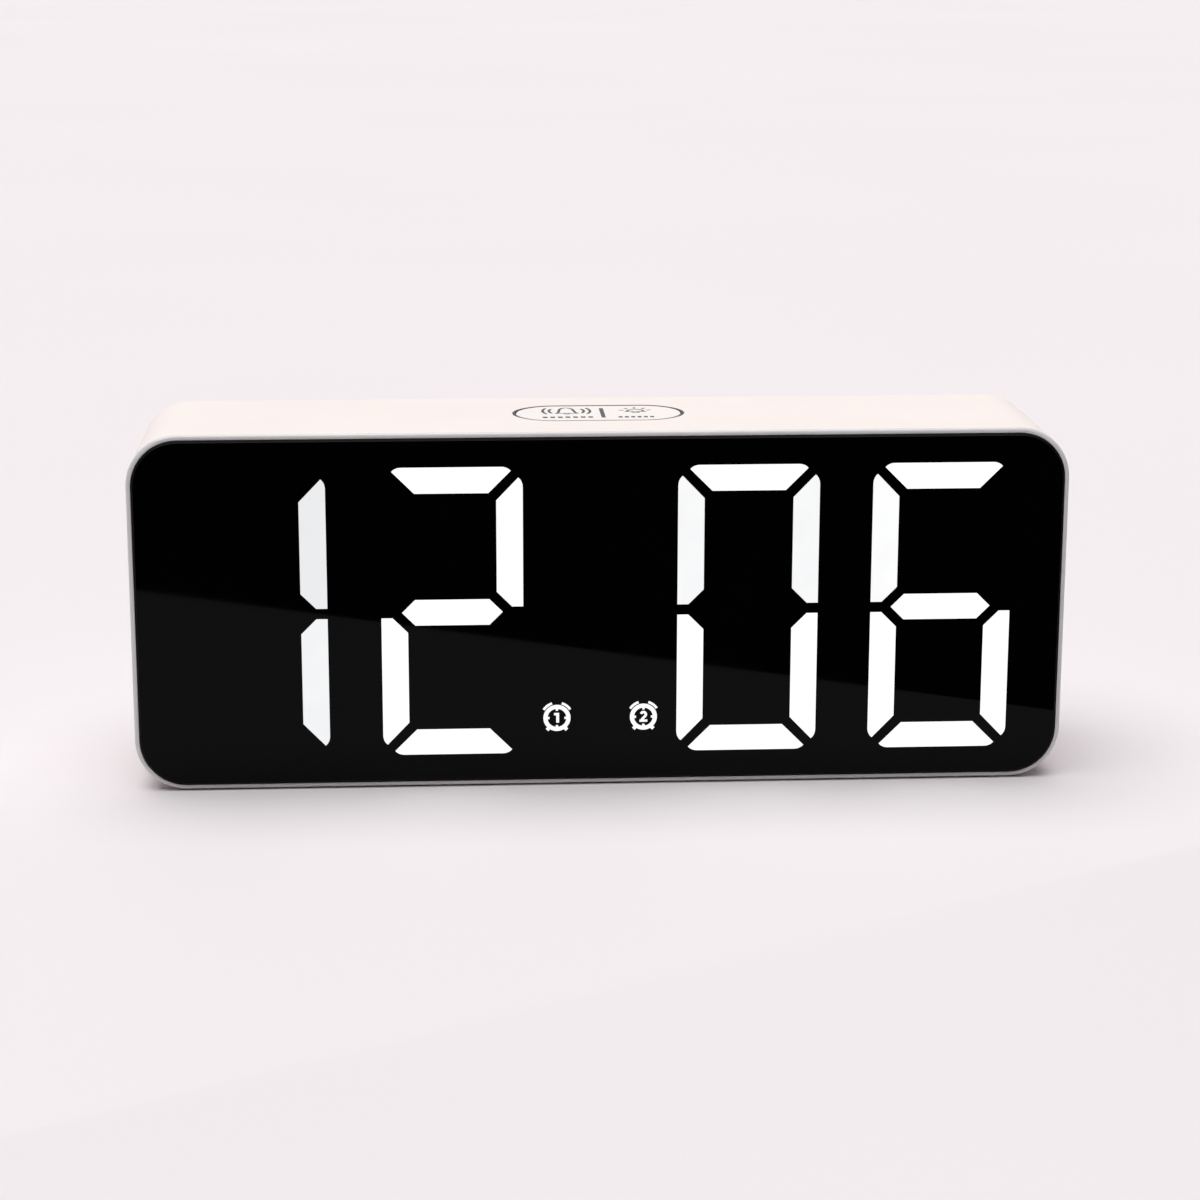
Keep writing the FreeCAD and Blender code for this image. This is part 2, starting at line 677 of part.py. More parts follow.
# ---- Back ----
def rear_cover():
    """Recessed back panel with the battery bay, button holes, sound holes and screw seats."""
    plate = case_slab(COVER_INSET, COVER_IN, COVER_OUT)
    half_width = BAY_WIDTH / 2 + BAY_WALL
    half_height = BAY_HEIGHT / 2 + BAY_WALL
    bay = box((BAY_X - half_width, BAY_X + half_width), (BAY_FLOOR - BAY_WALL, COVER_IN + 0.5),
              (BAY_Z - half_height, BAY_Z + half_height))
    frame_x = (BAY_X - DOOR_WIDTH / 2 - 2.2, BAY_X + DOOR_WIDTH / 2 + 2.2)
    frame_z = (DOOR_BOTTOM - 1.8, DOOR_BOTTOM + DOOR_HEIGHT + 1.8)
    frame = box(frame_x, (COVER_IN - 2.0, COVER_IN + 0.5), frame_z)
    posts = [post_y(x, z, REAR_BOARD_BACK, COVER_IN + 0.5, 2.3) for x, z in REAR_POSTS]
    cover = fuse([plate, bay, frame] + posts)
    return cut(cover, bay_cuts() + button_cuts() + rear_hole_cuts())


def bay_cuts():
    """Room for the cells and for the door and its hinge."""
    interior = box((BAY_X - BAY_WIDTH / 2, BAY_X + BAY_WIDTH / 2), (BAY_FLOOR, COVER_OUT + 1),
                   (BAY_Z - BAY_HEIGHT / 2, BAY_Z + BAY_HEIGHT / 2))
    half = DOOR_WIDTH / 2 + DOOR_GAP
    recess = box((BAY_X - half, BAY_X + half), (DOOR_IN - 0.05, COVER_OUT + 1),
                 (HINGE_Z, DOOR_BOTTOM + DOOR_HEIGHT + DOOR_GAP))
    room = HINGE_RADIUS + 0.15
    hinge_well = rod(Vector(BAY_X - half, HINGE_Y, HINGE_Z), Vector(BAY_X + half, HINGE_Y, HINGE_Z), room)
    hinge_mouth = box((BAY_X - half, BAY_X + half), (HINGE_Y, COVER_OUT + 1), (HINGE_Z - room, HINGE_Z + 0.1))
    pin_reach = half + HINGE_PIN_LENGTH
    pin_hole = rod(Vector(BAY_X - pin_reach, HINGE_Y, HINGE_Z), Vector(BAY_X + pin_reach, HINGE_Y, HINGE_Z),
                   HINGE_PIN_RADIUS + 0.07)
    notch = post_y(BAY_X, DOOR_BOTTOM + DOOR_HEIGHT, COVER_OUT - 0.9, COVER_OUT + 1, 4.5)
    return [interior, recess, hinge_well, hinge_mouth, pin_hole, notch]


def button_cuts():
    return [
        pill_upright(x, (COVER_IN - 1, COVER_OUT + 1), BUTTON_Z,
                     BUTTON_LENGTH + 2 * BUTTON_SLIT, BUTTON_WIDTH + 2 * BUTTON_SLIT)
        for x in BUTTON_X
    ]


def rear_hole_cuts():
    """Screw seats, sound holes, the power opening and the board posts' pilot holes."""
    holes = []
    for x, z in boss_places():
        holes.append(post_y(x, z, COVER_IN - 1, COVER_OUT + 1, 1.45))
        holes.append(post_y(x, z, COVER_OUT - 1.2, COVER_OUT + 1, 2.8))
    holes.append(post_y(BUZZER_X, BUZZER_Z, COVER_IN - 1, COVER_OUT + 1, SOUND_HOLE_RADIUS))
    for ring, count in ((3.0, 6), (6.0, 12)):
        for i in range(count):
            angle = 2 * math.pi * i / count
            x = BUZZER_X + ring * math.cos(angle)
            z = BUZZER_Z + ring * math.sin(angle)
            holes.append(post_y(x, z, COVER_IN - 1, COVER_OUT + 1, SOUND_HOLE_RADIUS))
    through = (COVER_IN - 1, COVER_OUT + 1)
    holes.append(pill_upright(SOCKET_X, through, SOCKET_Z, SOCKET_WIDTH + 0.6, SOCKET_HEIGHT + 0.6))
    holes += [post_y(x, z, REAR_BOARD_BACK - 1, COVER_IN, 0.85) for x, z in REAR_POSTS]
    return holes


def cover_screws():
    return group([
        screw(Vector(x, COVER_OUT - 1.2, z), Vector(0, 1, 0), 2.5, 1.1, 1.25, 9.5)
        for x, z in boss_places()
    ])


def rear_board():
    board = box(REAR_BOARD_X, (REAR_BOARD_FRONT, REAR_BOARD_BACK), REAR_BOARD_Z)
    board = board.makeFillet(1.5, edges_along(board, Vector(0, 1, 0)))
    holes = [post_y(x, z, REAR_BOARD_FRONT - 1, REAR_BOARD_BACK + 1, 1.1) for x, z in REAR_POSTS]
    return cut(board, holes)


def rear_board_screws():
    return group([
        screw(Vector(x, REAR_BOARD_FRONT, z), Vector(0, -1, 0), 1.8, 1.2, 0.8, 5.0)
        for x, z in REAR_POSTS
    ])


def button_switches():
    """Five push switches on the rear board, each with a well for its plunger."""
    switches = []
    for x in BUTTON_X:
        body = box((x - 3, x + 3), (REAR_BOARD_BACK, SWITCH_TOP), (BUTTON_Z - 3, BUTTON_Z + 3))
        well_bottom = PLUNGER_BACK - PLUNGER_LENGTH - BUTTON_TRAVEL - 0.2
        well = post_y(x, BUTTON_Z, well_bottom, SWITCH_TOP + 1, 1.68)
        legs = [
            box(sorted((x + side * 2.9, x + side * 4.2)), (REAR_BOARD_BACK, REAR_BOARD_BACK + 0.4),
                (z - 0.35, z + 0.35))
            for side in (-1, 1) for z in (BUTTON_Z - 2.2, BUTTON_Z + 2.2)
        ]
        switches.append(fuse([body.cut(well)] + legs))
    return group(switches)


def button_plunger(x):
    return post_y(x, BUTTON_Z, PLUNGER_BACK - PLUNGER_LENGTH, PLUNGER_BACK, 1.6)


def button_cap(x):
    """A rear button: pill cap with a flange behind the cover."""
    top = COVER_OUT + BUTTON_PROUD
    cap = pill_upright(x, (PLUNGER_BACK, top), BUTTON_Z, BUTTON_LENGTH, BUTTON_WIDTH)
    cap = cap.makeFillet(0.4, edges_at_depth(cap, top))
    flange = pill_upright(x, (PLUNGER_BACK, PLUNGER_BACK + BUTTON_FLANGE), BUTTON_Z,
                          BUTTON_LENGTH + 1.8, BUTTON_WIDTH + 1.8)
    return fuse([cap, flange])


def power_socket_shell():
    """Oval metal shell of the power socket, open to the back."""
    y = (REAR_BOARD_BACK, COVER_OUT - 0.3)
    outer = pill_upright(SOCKET_X, y, SOCKET_Z, SOCKET_WIDTH, SOCKET_HEIGHT)
    inside = (y[0] + 1.0, y[1] + 1)
    return outer.cut(pill_upright(SOCKET_X, inside, SOCKET_Z, SOCKET_WIDTH - 0.6, SOCKET_HEIGHT - 0.6))


def power_socket_tongue():
    return box((SOCKET_X - 3.35, SOCKET_X + 3.35), (REAR_BOARD_BACK + 1.0, COVER_OUT - 1.0),
               (SOCKET_Z - 0.35, SOCKET_Z + 0.35))


def buzzer():
    """Round sounder with a hole in its lid."""
    top = COVER_IN - 0.3
    can = post_y(BUZZER_X, BUZZER_Z, REAR_BOARD_BACK, top, BUZZER_RADIUS)
    can = can.makeFillet(0.6, edges_at_depth(can, top))
    inside = post_y(BUZZER_X, BUZZER_Z, REAR_BOARD_BACK + 0.8, top - 0.8, BUZZER_RADIUS - 0.8)
    return cut(can, [inside, post_y(BUZZER_X, BUZZER_Z, top - 2, top + 1, 1.2)])


# ---- Batteries ----
def battery_door():
    """Door that swings on two stub pins at its lower edge, with a latch tongue at the top."""
    half = DOOR_WIDTH / 2
    x = (BAY_X - half, BAY_X + half)
    top = DOOR_BOTTOM + DOOR_HEIGHT
    leaf = box(x, (DOOR_IN, COVER_OUT), (HINGE_Z, top))
    barrel = rod(Vector(x[0], HINGE_Y, HINGE_Z), Vector(x[1], HINGE_Y, HINGE_Z), HINGE_RADIUS)
    barrel = barrel.common(box(x, (HINGE_Y, COVER_OUT + 1), (DOOR_BOTTOM - 1, HINGE_Z + HINGE_RADIUS)))
    parts = [leaf, barrel]
    pin_reach = half + HINGE_PIN_LENGTH - 0.1
    parts.append(rod(Vector(BAY_X - pin_reach, HINGE_Y, HINGE_Z), Vector(BAY_X + pin_reach, HINGE_Y, HINGE_Z),
                     HINGE_PIN_RADIUS))
    tongue_top = BAY_Z + BAY_HEIGHT / 2 - 0.3
    parts.append(box((BAY_X - 4, BAY_X + 4), (DOOR_IN - 2.4, DOOR_IN + 0.5), (tongue_top - 1.0, tongue_top)))
    door = fuse(parts)
    slits = [
        box((x - 0.4, x + 0.4), (DOOR_IN - 1, COVER_OUT + 1), (top - 7, top + 1))
        for x in (BAY_X - 6, BAY_X + 6)
    ]
    grips = [
        box((BAY_X - 5, BAY_X + 5), (COVER_OUT - 0.5, COVER_OUT + 1), (z, z + 0.8))
        for z in (top - 3.0, top - 4.6, top - 6.2)
    ]
    return cut(door, slits + grips)


def cell_rows():
    """For each cell: its height and the side that its positive end points to."""
    return [(BAY_Z + (i - 1) * CELL_PITCH, 1 if i % 2 == 0 else -1) for i in range(3)]


def battery_cell(z, plus):
    """An AAA cell that lies along X, its flat end on the spring side."""
    flat_end = BAY_X - plus * (BAY_WIDTH / 2 - SPRING_SPACE)
    shoulder = flat_end + plus * CELL_LENGTH
    can = rod(Vector(flat_end, CELL_Y, z), Vector(shoulder, CELL_Y, z), CELL_RADIUS)
    can = can.makeFillet(0.5, [edge for edge in can.Edges if not isinstance(edge.Curve, Part.Line)])
    nub = rod(Vector(shoulder - plus, CELL_Y, z), Vector(shoulder + plus * NUB_LENGTH, CELL_Y, z), NUB_RADIUS)
    return fuse([can, nub])


def battery_plates():
    """Contact plates on the bay's two end walls, two of them bridging neighbouring cells."""
    plates = []
    rows = cell_rows()
    half = CELL_RADIUS - 1.0
    for side, spans in ((-1, ((0, 0), (1, 2))), (1, ((0, 1), (2, 2)))):
        wall = BAY_X + side * BAY_WIDTH / 2
        x = sorted((wall, wall - side * PLATE_THICK))
        for low, high in spans:
            parts = [box(x, (CELL_Y - half, CELL_Y + half), (rows[low][0] - half, rows[high][0] + half))]
            for z, plus in rows[low:high + 1]:
                if plus == side:
                    nub_end = BAY_X + plus * (NUB_LENGTH + CELL_LENGTH - BAY_WIDTH / 2 + SPRING_SPACE)
                    parts.append(rod(Vector(wall, CELL_Y, z), Vector(nub_end, CELL_Y, z), 2.4))
            plates.append(fuse(parts))
    return group(plates)


def battery_springs():
    """One coil spring against the flat end of each cell."""
    springs = []
    for z, plus in cell_rows():
        start = BAY_X - plus * (BAY_WIDTH / 2 - PLATE_THICK - SPRING_WIRE)
        height = SPRING_SPACE - PLATE_THICK - 2 * SPRING_WIRE
        helix = Part.makeHelix(height / 4, height, SPRING_RADIUS)
        wire_end = Part.Circle(Vector(SPRING_RADIUS, 0, 0), Vector(0, 1, 0), SPRING_WIRE)
        coil = Part.Wire(helix.Edges).makePipeShell([Part.Wire([wire_end.toShape()])], True, True)
        coil.Placement = Placement(Vector(start, CELL_Y, z), Rotation(Vector(0, 0, 1), Vector(plus, 0, 0)))
        springs.append(coil)
    return group(springs)


def battery_wires():
    """Two wires from the bay's end wall to the rear board."""
    wall = BAY_X - BAY_WIDTH / 2 - BAY_WALL
    wires = []
    for z, drop in ((BAY_Z - CELL_PITCH, 4.0), (BAY_Z + CELL_PITCH, -4.0)):
        path = [
            Vector(wall, 7.0, z),
            Vector(1.0, 7.0, z),
            Vector(-7.0, 3.0, z + drop),
            Vector(-14.0, 3.0, z + drop),
            Vector(-14.0, REAR_BOARD_FRONT, z + drop),
        ]
        wires.append(bent_tube(path, 2.4, 0.65))
    return group(wires)


# ---- Every piece, by name ----
PIECES = {
    "front_bezel": front_bezel(),
    "front_lens": front_lens(),
    "lens_tape": lens_tape(),
    "digit_mask": digit_mask(),
    "diffuser_film": diffuser_film(),
    "light_box": light_box(),
    "display_board": display_board(),
    "segment_leds": segment_leds(),
    "indicator_leds": indicator_leds(),
    "controller_chip": chip(28.0, 34.0, 10.0, 10.0, 1.4, 0.8, 11),
    "driver_chip": chip(0.0, 24.0, 17.9, 7.5, 2.3, 1.27, 14),
    "clock_crystal": clock_crystal(),
    "filter_capacitors": filter_capacitors(),
    "display_cable_socket": cable_socket(DISPLAY_BOARD_BACK, 1, CABLE_UPPER_Z),
    "rear_cable_socket": cable_socket(REAR_BOARD_FRONT, -1, CABLE_LOWER_Z),
    "ribbon_cable": ribbon_cable(),
    "main_shell": main_shell(),
    "foot_pads": foot_pads(),
    "key_trim_ring": key_trim_ring(),
    "snooze_key": snooze_key(),
    "key_switch_plunger": key_switch_plunger(),
    "key_switch_body": key_switch_body(),
    "key_board": key_board(),
    "key_board_screws": key_board_screws(),
    "key_wires": key_wires(),
    "rear_cover": rear_cover(),
    "cover_screws": cover_screws(),
    "rear_board": rear_board(),
    "rear_board_screws": rear_board_screws(),
    "button_switches": button_switches(),
    "power_socket_shell": power_socket_shell(),
    "power_socket_tongue": power_socket_tongue(),
    "buzzer": buzzer(),
    "battery_door": battery_door(),
    "battery_plates": battery_plates(),
    "battery_springs": battery_springs(),
    "battery_wires": battery_wires(),
}
for name, x in zip(BUTTON_NAMES, BUTTON_X):
    PIECES[name + "_button"] = button_cap(x)
    PIECES[name + "_plunger"] = button_plunger(x)
for number, (z, plus) in enumerate(cell_rows(), start=1):
    PIECES["battery_cell_" + str(number)] = battery_cell(z, plus)

os.makedirs("parts", exist_ok=True)
for name, shape in PIECES.items():
    shape.exportStep("parts/" + name + ".step")
    state = "valid" if shape.isValid() else "NOT VALID"
    print(name, len(shape.Solids), "solids", state, round(shape.Volume, 1))
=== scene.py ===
import math

import bmesh
import bpy
from mathutils import Matrix, Vector


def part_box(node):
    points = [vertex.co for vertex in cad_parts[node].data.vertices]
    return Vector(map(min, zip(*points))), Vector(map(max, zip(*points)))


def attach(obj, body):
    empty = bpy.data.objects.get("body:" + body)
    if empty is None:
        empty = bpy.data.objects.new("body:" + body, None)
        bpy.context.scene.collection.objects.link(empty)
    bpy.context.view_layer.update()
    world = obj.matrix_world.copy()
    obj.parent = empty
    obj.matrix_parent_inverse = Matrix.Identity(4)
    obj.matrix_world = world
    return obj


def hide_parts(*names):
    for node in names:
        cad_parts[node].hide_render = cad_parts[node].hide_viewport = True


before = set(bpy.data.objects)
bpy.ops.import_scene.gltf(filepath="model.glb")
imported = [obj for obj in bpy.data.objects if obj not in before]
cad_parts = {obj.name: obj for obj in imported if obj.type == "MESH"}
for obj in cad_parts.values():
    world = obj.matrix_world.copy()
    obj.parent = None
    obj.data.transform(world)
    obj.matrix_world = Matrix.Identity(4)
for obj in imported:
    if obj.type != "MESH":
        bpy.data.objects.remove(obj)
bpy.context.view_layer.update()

MM = 0.001

# ---- Places read from the frame ----
lens_low, lens_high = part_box("front_lens")
mask_low, mask_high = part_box("digit_mask")
key_low, key_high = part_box("snooze_key")
door_low, door_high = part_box("battery_door")
cable_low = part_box("ribbon_cable")[0]
key_wire_low, key_wire_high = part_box("key_wires")

LENS_FRONT = lens_low.y
KEY_TOP = key_high.z
KEY_X = (key_low.x + key_high.x) / 2
KEY_Y = (key_low.y + key_high.y) / 2
COVER_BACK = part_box("rear_cover")[1].y

RIGHT = Vector((1, 0, 0))
BACK = Vector((0, 1, 0))
UP = Vector((0, 0, 1))

# ---- Display: places and sizes of the lit windows ----
DISPLAY_MIDDLE = -0.24 * MM
INNER_DIGIT = 25.24 * MM
DIGIT_PITCH = 33.25 * MM
DIGIT_CENTRES = (
    DISPLAY_MIDDLE - INNER_DIGIT - DIGIT_PITCH,
    DISPLAY_MIDDLE - INNER_DIGIT,
    DISPLAY_MIDDLE + INNER_DIGIT,
    DISPLAY_MIDDLE + INNER_DIGIT + DIGIT_PITCH,
)
DIGIT_HALF_WIDTH = 12.07 * MM
DIGIT_HALF_HEIGHT = 25.15 * MM
DIGIT_MIDDLE = (mask_low.z + mask_high.z) / 2
STROKE = 4.5 * MM
FULL = 1.05                  # light level inside a bright window, 1 is plain white
EDGE_LEVEL = 1.08            # and along its edge
SEGMENT_GAP = 0.9 * MM
SIGN_X = (DISPLAY_MIDDLE - 7.46 * MM, DISPLAY_MIDDLE + 7.46 * MM)
SIGN_Z = DIGIT_MIDDLE - 18.96 * MM
LIT_DEPTH = 0.3 * MM
LIT_PROUD = 0.004 * MM
LIT_EDGE = 0.28 * MM
ARC_STEPS = 6
EASE_STEPS = 4


# ---- Node helpers ----
def new_material(name):
    """A material with one Principled shader, its tree and the shader."""
    material = bpy.data.materials.new(name)
    material.use_nodes = True
    tree = material.node_tree
    return material, tree, tree.nodes["Principled BSDF"]


def node(tree, kind, **inputs):
    """A node with inputs set by name; an output socket given as a value is linked."""
    made = tree.nodes.new(kind)
    for key, value in inputs.items():
        put(tree, made.inputs[key.replace("_", " ")], value)
    return made


def put(tree, socket, value):
    """Give a socket a value, or a link when the value is an output socket."""
    if isinstance(value, bpy.types.NodeSocket):
        tree.links.new(value, socket)
    else:
        socket.default_value = value


def place_of(tree):
    """Coordinates in metres, fixed to the object."""
    return tree.nodes.new("ShaderNodeTexCoord").outputs["Object"]


def noise(tree, scale, detail=3.0, roughness=0.5, stretch=None):
    """Noise with about scale bumps in a metre; a stretch below 1 draws it out along that axis."""
    vector = place_of(tree)
    if stretch is not None:
        mapping = node(tree, "ShaderNodeMapping", Vector=vector)
        mapping.inputs["Scale"].default_value = stretch
        vector = mapping.outputs["Vector"]
    made = node(tree, "ShaderNodeTexNoise", Vector=vector, Scale=scale, Detail=detail, Roughness=roughness)
    return made.outputs["Fac"]


def ranged(tree, value, low, high, from_low=0.3, from_high=0.7):
    """Move a value's range to low and high; noise mostly lies between 0.3 and 0.7."""
    made = node(tree, "ShaderNodeMapRange", Value=value)
    made.inputs["From Min"].default_value = from_low
    made.inputs["From Max"].default_value = from_high
    made.inputs["To Min"].default_value = low
    made.inputs["To Max"].default_value = high
    return made.outputs["Result"]


def mix(tree, factor, first, second):
    """Mix two colours or sockets."""
    made = tree.nodes.new("ShaderNodeMix")
    made.data_type = "RGBA"
    put(tree, made.inputs[0], factor)
    for socket, value in ((made.inputs[6], first), (made.inputs[7], second)):
        put(tree, socket, value if isinstance(value, bpy.types.NodeSocket) else (*value, 1.0))
    return made.outputs[2]


def maths(tree, operation, first, second=0.0):
    """The result of a Math node."""
    made = tree.nodes.new("ShaderNodeMath")
    made.operation = operation
    put(tree, made.inputs[0], first)
    put(tree, made.inputs[1], second)
    return made.outputs[0]


def shade(colour, by):
    """The colour made lighter or darker."""
    return tuple(min(c * by, 1.0) for c in colour)


def rounded_normal(tree, radius):
    """The surface's normal as if its edges were rounded by the radius."""
    bevel = tree.nodes.new("ShaderNodeBevel")
    bevel.samples = 4
    bevel.inputs["Radius"].default_value = radius
    return bevel.outputs["Normal"]


def bump(tree, height, strength, depth, normal=None):
    """A bumped normal; depth is the height in metres of a full step."""
    made = node(tree, "ShaderNodeBump", Height=height, Strength=strength, Distance=depth)
    if normal is not None:
        put(tree, made.inputs["Normal"], normal)
    return made.outputs["Normal"]


def edge_mask(tree, radius):
    """Near 1 along hard edges, 0 on flats, from how far a rounded normal leans."""
    flat = tree.nodes.new("ShaderNodeNewGeometry").outputs["Normal"]
    dot = tree.nodes.new("ShaderNodeVectorMath")
    dot.operation = "DOT_PRODUCT"
    put(tree, dot.inputs[0], rounded_normal(tree, radius))
    put(tree, dot.inputs[1], flat)
    return ranged(tree, dot.outputs["Value"], 1.0, 0.0, 0.86, 0.995)


# ---- Materials ----
def moulded(name, colour, roughness=0.42, grain=2400.0, depth=0.010, wear_and_highlight=0.04, edge=0.25):
    """Moulded plastic: slow tint drift, spark-eroded grain, edges made a little smoother and a little
    lighter, partly real rubbing and partly a painted edge highlight.

    Depth is the grain's height and edge the rounding at hard edges, both in millimetres.
    """
    material, tree, shader = new_material(name)
    drift = ranged(tree, noise(tree, 45.0, 2.0), 0.0, 1.0)
    colours = mix(tree, drift, shade(colour, 0.985), shade(colour, 1.01))
    rubbed_and_highlit = edge_mask(tree, edge * MM)
    # Lighter colour along hard edges: partly real rubbing, partly a painted edge highlight.
    colours = mix(tree, maths(tree, "MULTIPLY", rubbed_and_highlit, wear_and_highlight * 4), colours, shade(colour, 1.05))
    put(tree, shader.inputs["Base Color"], colours)
    cloudy = ranged(tree, noise(tree, 160.0, 3.0), roughness - 0.05, roughness + 0.05)
    polish = maths(tree, "MULTIPLY", rubbed_and_highlit, wear_and_highlight * 2)
    put(tree, shader.inputs["Roughness"], maths(tree, "SUBTRACT", cloudy, polish))
    rounded = rounded_normal(tree, edge * 0.5 * MM)
    put(tree, shader.inputs["Normal"], bump(tree, noise(tree, grain, 2.0, 0.6), 0.6, depth * MM, rounded))
    return material


def rubber(name, colour):
    """Matte rubber or foam with a little dust."""
    material, tree, shader = new_material(name)
    dust = ranged(tree, noise(tree, 900.0, 4.0), 0.0, 0.35, 0.45, 0.75)
    put(tree, shader.inputs["Base Color"], mix(tree, dust, colour, shade(colour, 2.2)))
    put(tree, shader.inputs["Roughness"], ranged(tree, noise(tree, 300.0), 0.72, 0.92))
    put(tree, shader.inputs["Normal"], bump(tree, noise(tree, 3500.0, 2.0), 0.7, 0.02 * MM))
    return material


def metal(name, colour, roughness, stretch):
    """Plated metal with fine drawn lines along one direction and a few dull patches."""
    material, tree, shader = new_material(name)
    lines = noise(tree, 900.0, 4.0, 0.6, stretch)
    dull = ranged(tree, noise(tree, 350.0, 3.0), 0.0, 1.0)
    put(tree, shader.inputs["Base Color"], mix(tree, dull, colour, shade(colour, 0.88)))
    shader.inputs["Metallic"].default_value = 1.0
    put(tree, shader.inputs["Roughness"], ranged(tree, lines, roughness - 0.08, roughness + 0.1))
    put(tree, shader.inputs["Normal"], bump(tree, lines, 0.35, 0.01 * MM))
    return material


def gloss_lens():
    """Smoked black acrylic, polished, low mirror, with faint cloth haze and a little dust."""
    material, tree, shader = new_material("lens_black")
    haze = noise(tree, 60.0, 3.0, 0.6, (1.0, 1.0, 0.35))
    dust = node(tree, "ShaderNodeTexVoronoi", Vector=place_of(tree), Scale=420.0)
    speck = ranged(tree, dust.outputs["Distance"], 1.0, 0.0, 0.0, 0.03)
    body = mix(tree, ranged(tree, haze, 0.0, 1.0), (0.0004, 0.0004, 0.0004), (0.0008, 0.0008, 0.0008))
    dusty = mix(tree, maths(tree, "MULTIPLY", speck, 0.05), body, (0.5, 0.5, 0.5))
    put(tree, shader.inputs["Base Color"], dusty)
    put(tree, shader.inputs["Roughness"], ranged(tree, haze, 0.02, 0.05))
    shader.inputs["IOR"].default_value = 1.49
    shader.inputs["Specular IOR Level"].default_value = 0.08
    return material


def satin_edge():
    """The lens's cut edge: the same black acrylic, left satin by the cutter."""
    material, tree, shader = new_material("lens_edge")
    marks = noise(tree, 1500.0, 3.0)
    put(tree, shader.inputs["Base Color"], mix(tree, marks, (0.004, 0.004, 0.004), (0.008, 0.008, 0.008)))
    put(tree, shader.inputs["Roughness"], ranged(tree, marks, 0.45, 0.6))
    shader.inputs["Specular IOR Level"].default_value = 0.05
    return material


def lit_window():
    """A lit window: white light whose level each vertex carries, cooler where it is weaker."""
    material, tree, shader = new_material("display_light")
    level = tree.nodes.new("ShaderNodeAttribute")
    level.attribute_name = "glow"
    cloudy = ranged(tree, noise(tree, 180.0, 2.0), 0.985, 1.015)
    strength = maths(tree, "MULTIPLY", level.outputs["Fac"], cloudy)
    tint = mix(tree, ranged(tree, strength, 0.0, 1.0, 0.78, 1.02), (0.965, 0.980, 1.0), (1.0, 1.0, 1.0))
    scaled = tree.nodes.new("ShaderNodeVectorMath")
    scaled.operation = "SCALE"
    put(tree, scaled.inputs[0], tint)
    put(tree, scaled.inputs["Scale"], strength)
    put(tree, shader.inputs["Emission Color"], scaled.outputs[0])
    shader.inputs["Emission Strength"].default_value = 1.0
    put(tree, shader.inputs["Base Color"], mix(tree, cloudy, (0.02, 0.02, 0.02), (0.03, 0.03, 0.03)))
    put(tree, shader.inputs["Roughness"], ranged(tree, noise(tree, 60.0), 0.02, 0.06))
    shader.inputs["Specular IOR Level"].default_value = 0.08
    return material


def printed_ink(name, colour):
    """Pad-printed ink: slightly uneven cover and matte."""
    material, tree, shader = new_material(name)
    cover = ranged(tree, noise(tree, 2600.0, 3.0), 0.0, 1.0)
    put(tree, shader.inputs["Base Color"], mix(tree, cover, colour, tuple(c + 0.03 for c in colour)))
    put(tree, shader.inputs["Roughness"], ranged(tree, noise(tree, 900.0), 0.5, 0.65))
    return material


def circuit_board(name, flat_axes):
    """Green board: solder mask over tracks, with rows of tinned pads."""
    material, tree, shader = new_material(name)
    parts = node(tree, "ShaderNodeSeparateXYZ", Vector=place_of(tree))
    first, second = (parts.outputs[axis] for axis in flat_axes)
    flat = node(tree, "ShaderNodeCombineXYZ", X=first, Y=second)
    tracks = node(tree, "ShaderNodeTexBrick", Vector=flat.outputs[0], Scale=260.0)
    tracks.inputs["Mortar Size"].default_value = 0.035
    tracks.inputs["Color1"].default_value = (0.0, 0.0, 0.0, 1.0)
    tracks.inputs["Color2"].default_value = (0.0, 0.0, 0.0, 1.0)
    tracks.inputs["Mortar"].default_value = (1.0, 1.0, 1.0, 1.0)
    dots = node(tree, "ShaderNodeTexVoronoi", Vector=flat.outputs[0], Scale=190.0, Randomness=0.35)
    pads = ranged(tree, dots.outputs["Distance"], 1.0, 0.0, 0.16, 0.2)
    mask = mix(tree, tracks.outputs["Color"], (0.012, 0.085, 0.035), (0.03, 0.16, 0.06))
    put(tree, shader.inputs["Base Color"], mix(tree, pads, mask, (0.62, 0.60, 0.55)))
    put(tree, shader.inputs["Metallic"], pads)
    put(tree, shader.inputs["Roughness"], ranged(tree, noise(tree, 400.0), 0.28, 0.42))
    put(tree, shader.inputs["Normal"], bump(tree, tracks.outputs["Color"], 0.5, 0.03 * MM))
    return material


def cell_sleeve(name, plus_end, flat_end):
    """Plain battery sleeve: graphite body, copper band by the plus end, bare steel at both ends."""
    material, tree, shader = new_material(name)
    along = node(tree, "ShaderNodeSeparateXYZ", Vector=place_of(tree)).outputs["X"]
    share = ranged(tree, along, 0.0, 1.0, flat_end, plus_end)
    scuffs = ranged(tree, noise(tree, 260.0, 5.0, 0.7, (0.3, 1.0, 1.0)), 0.0, 0.25, 0.5, 0.75)
    copper = ranged(tree, share, 0.0, 1.0, 0.699, 0.701)
    sleeve = mix(tree, copper, (0.035, 0.038, 0.045), (0.42, 0.19, 0.08))
    flat_steel = ranged(tree, share, 1.0, 0.0, 0.014, 0.018)
    plus_steel = ranged(tree, share, 0.0, 1.0, 0.962, 0.966)
    ends = maths(tree, "MAXIMUM", flat_steel, plus_steel)
    worn = mix(tree, scuffs, sleeve, (0.30, 0.30, 0.31))
    put(tree, shader.inputs["Base Color"], mix(tree, ends, worn, (0.62, 0.61, 0.58)))
    put(tree, shader.inputs["Metallic"], maths(tree, "MAXIMUM", ends, maths(tree, "MULTIPLY", copper, 0.6)))
    put(tree, shader.inputs["Roughness"], ranged(tree, noise(tree, 500.0), 0.26, 0.4))
    return material


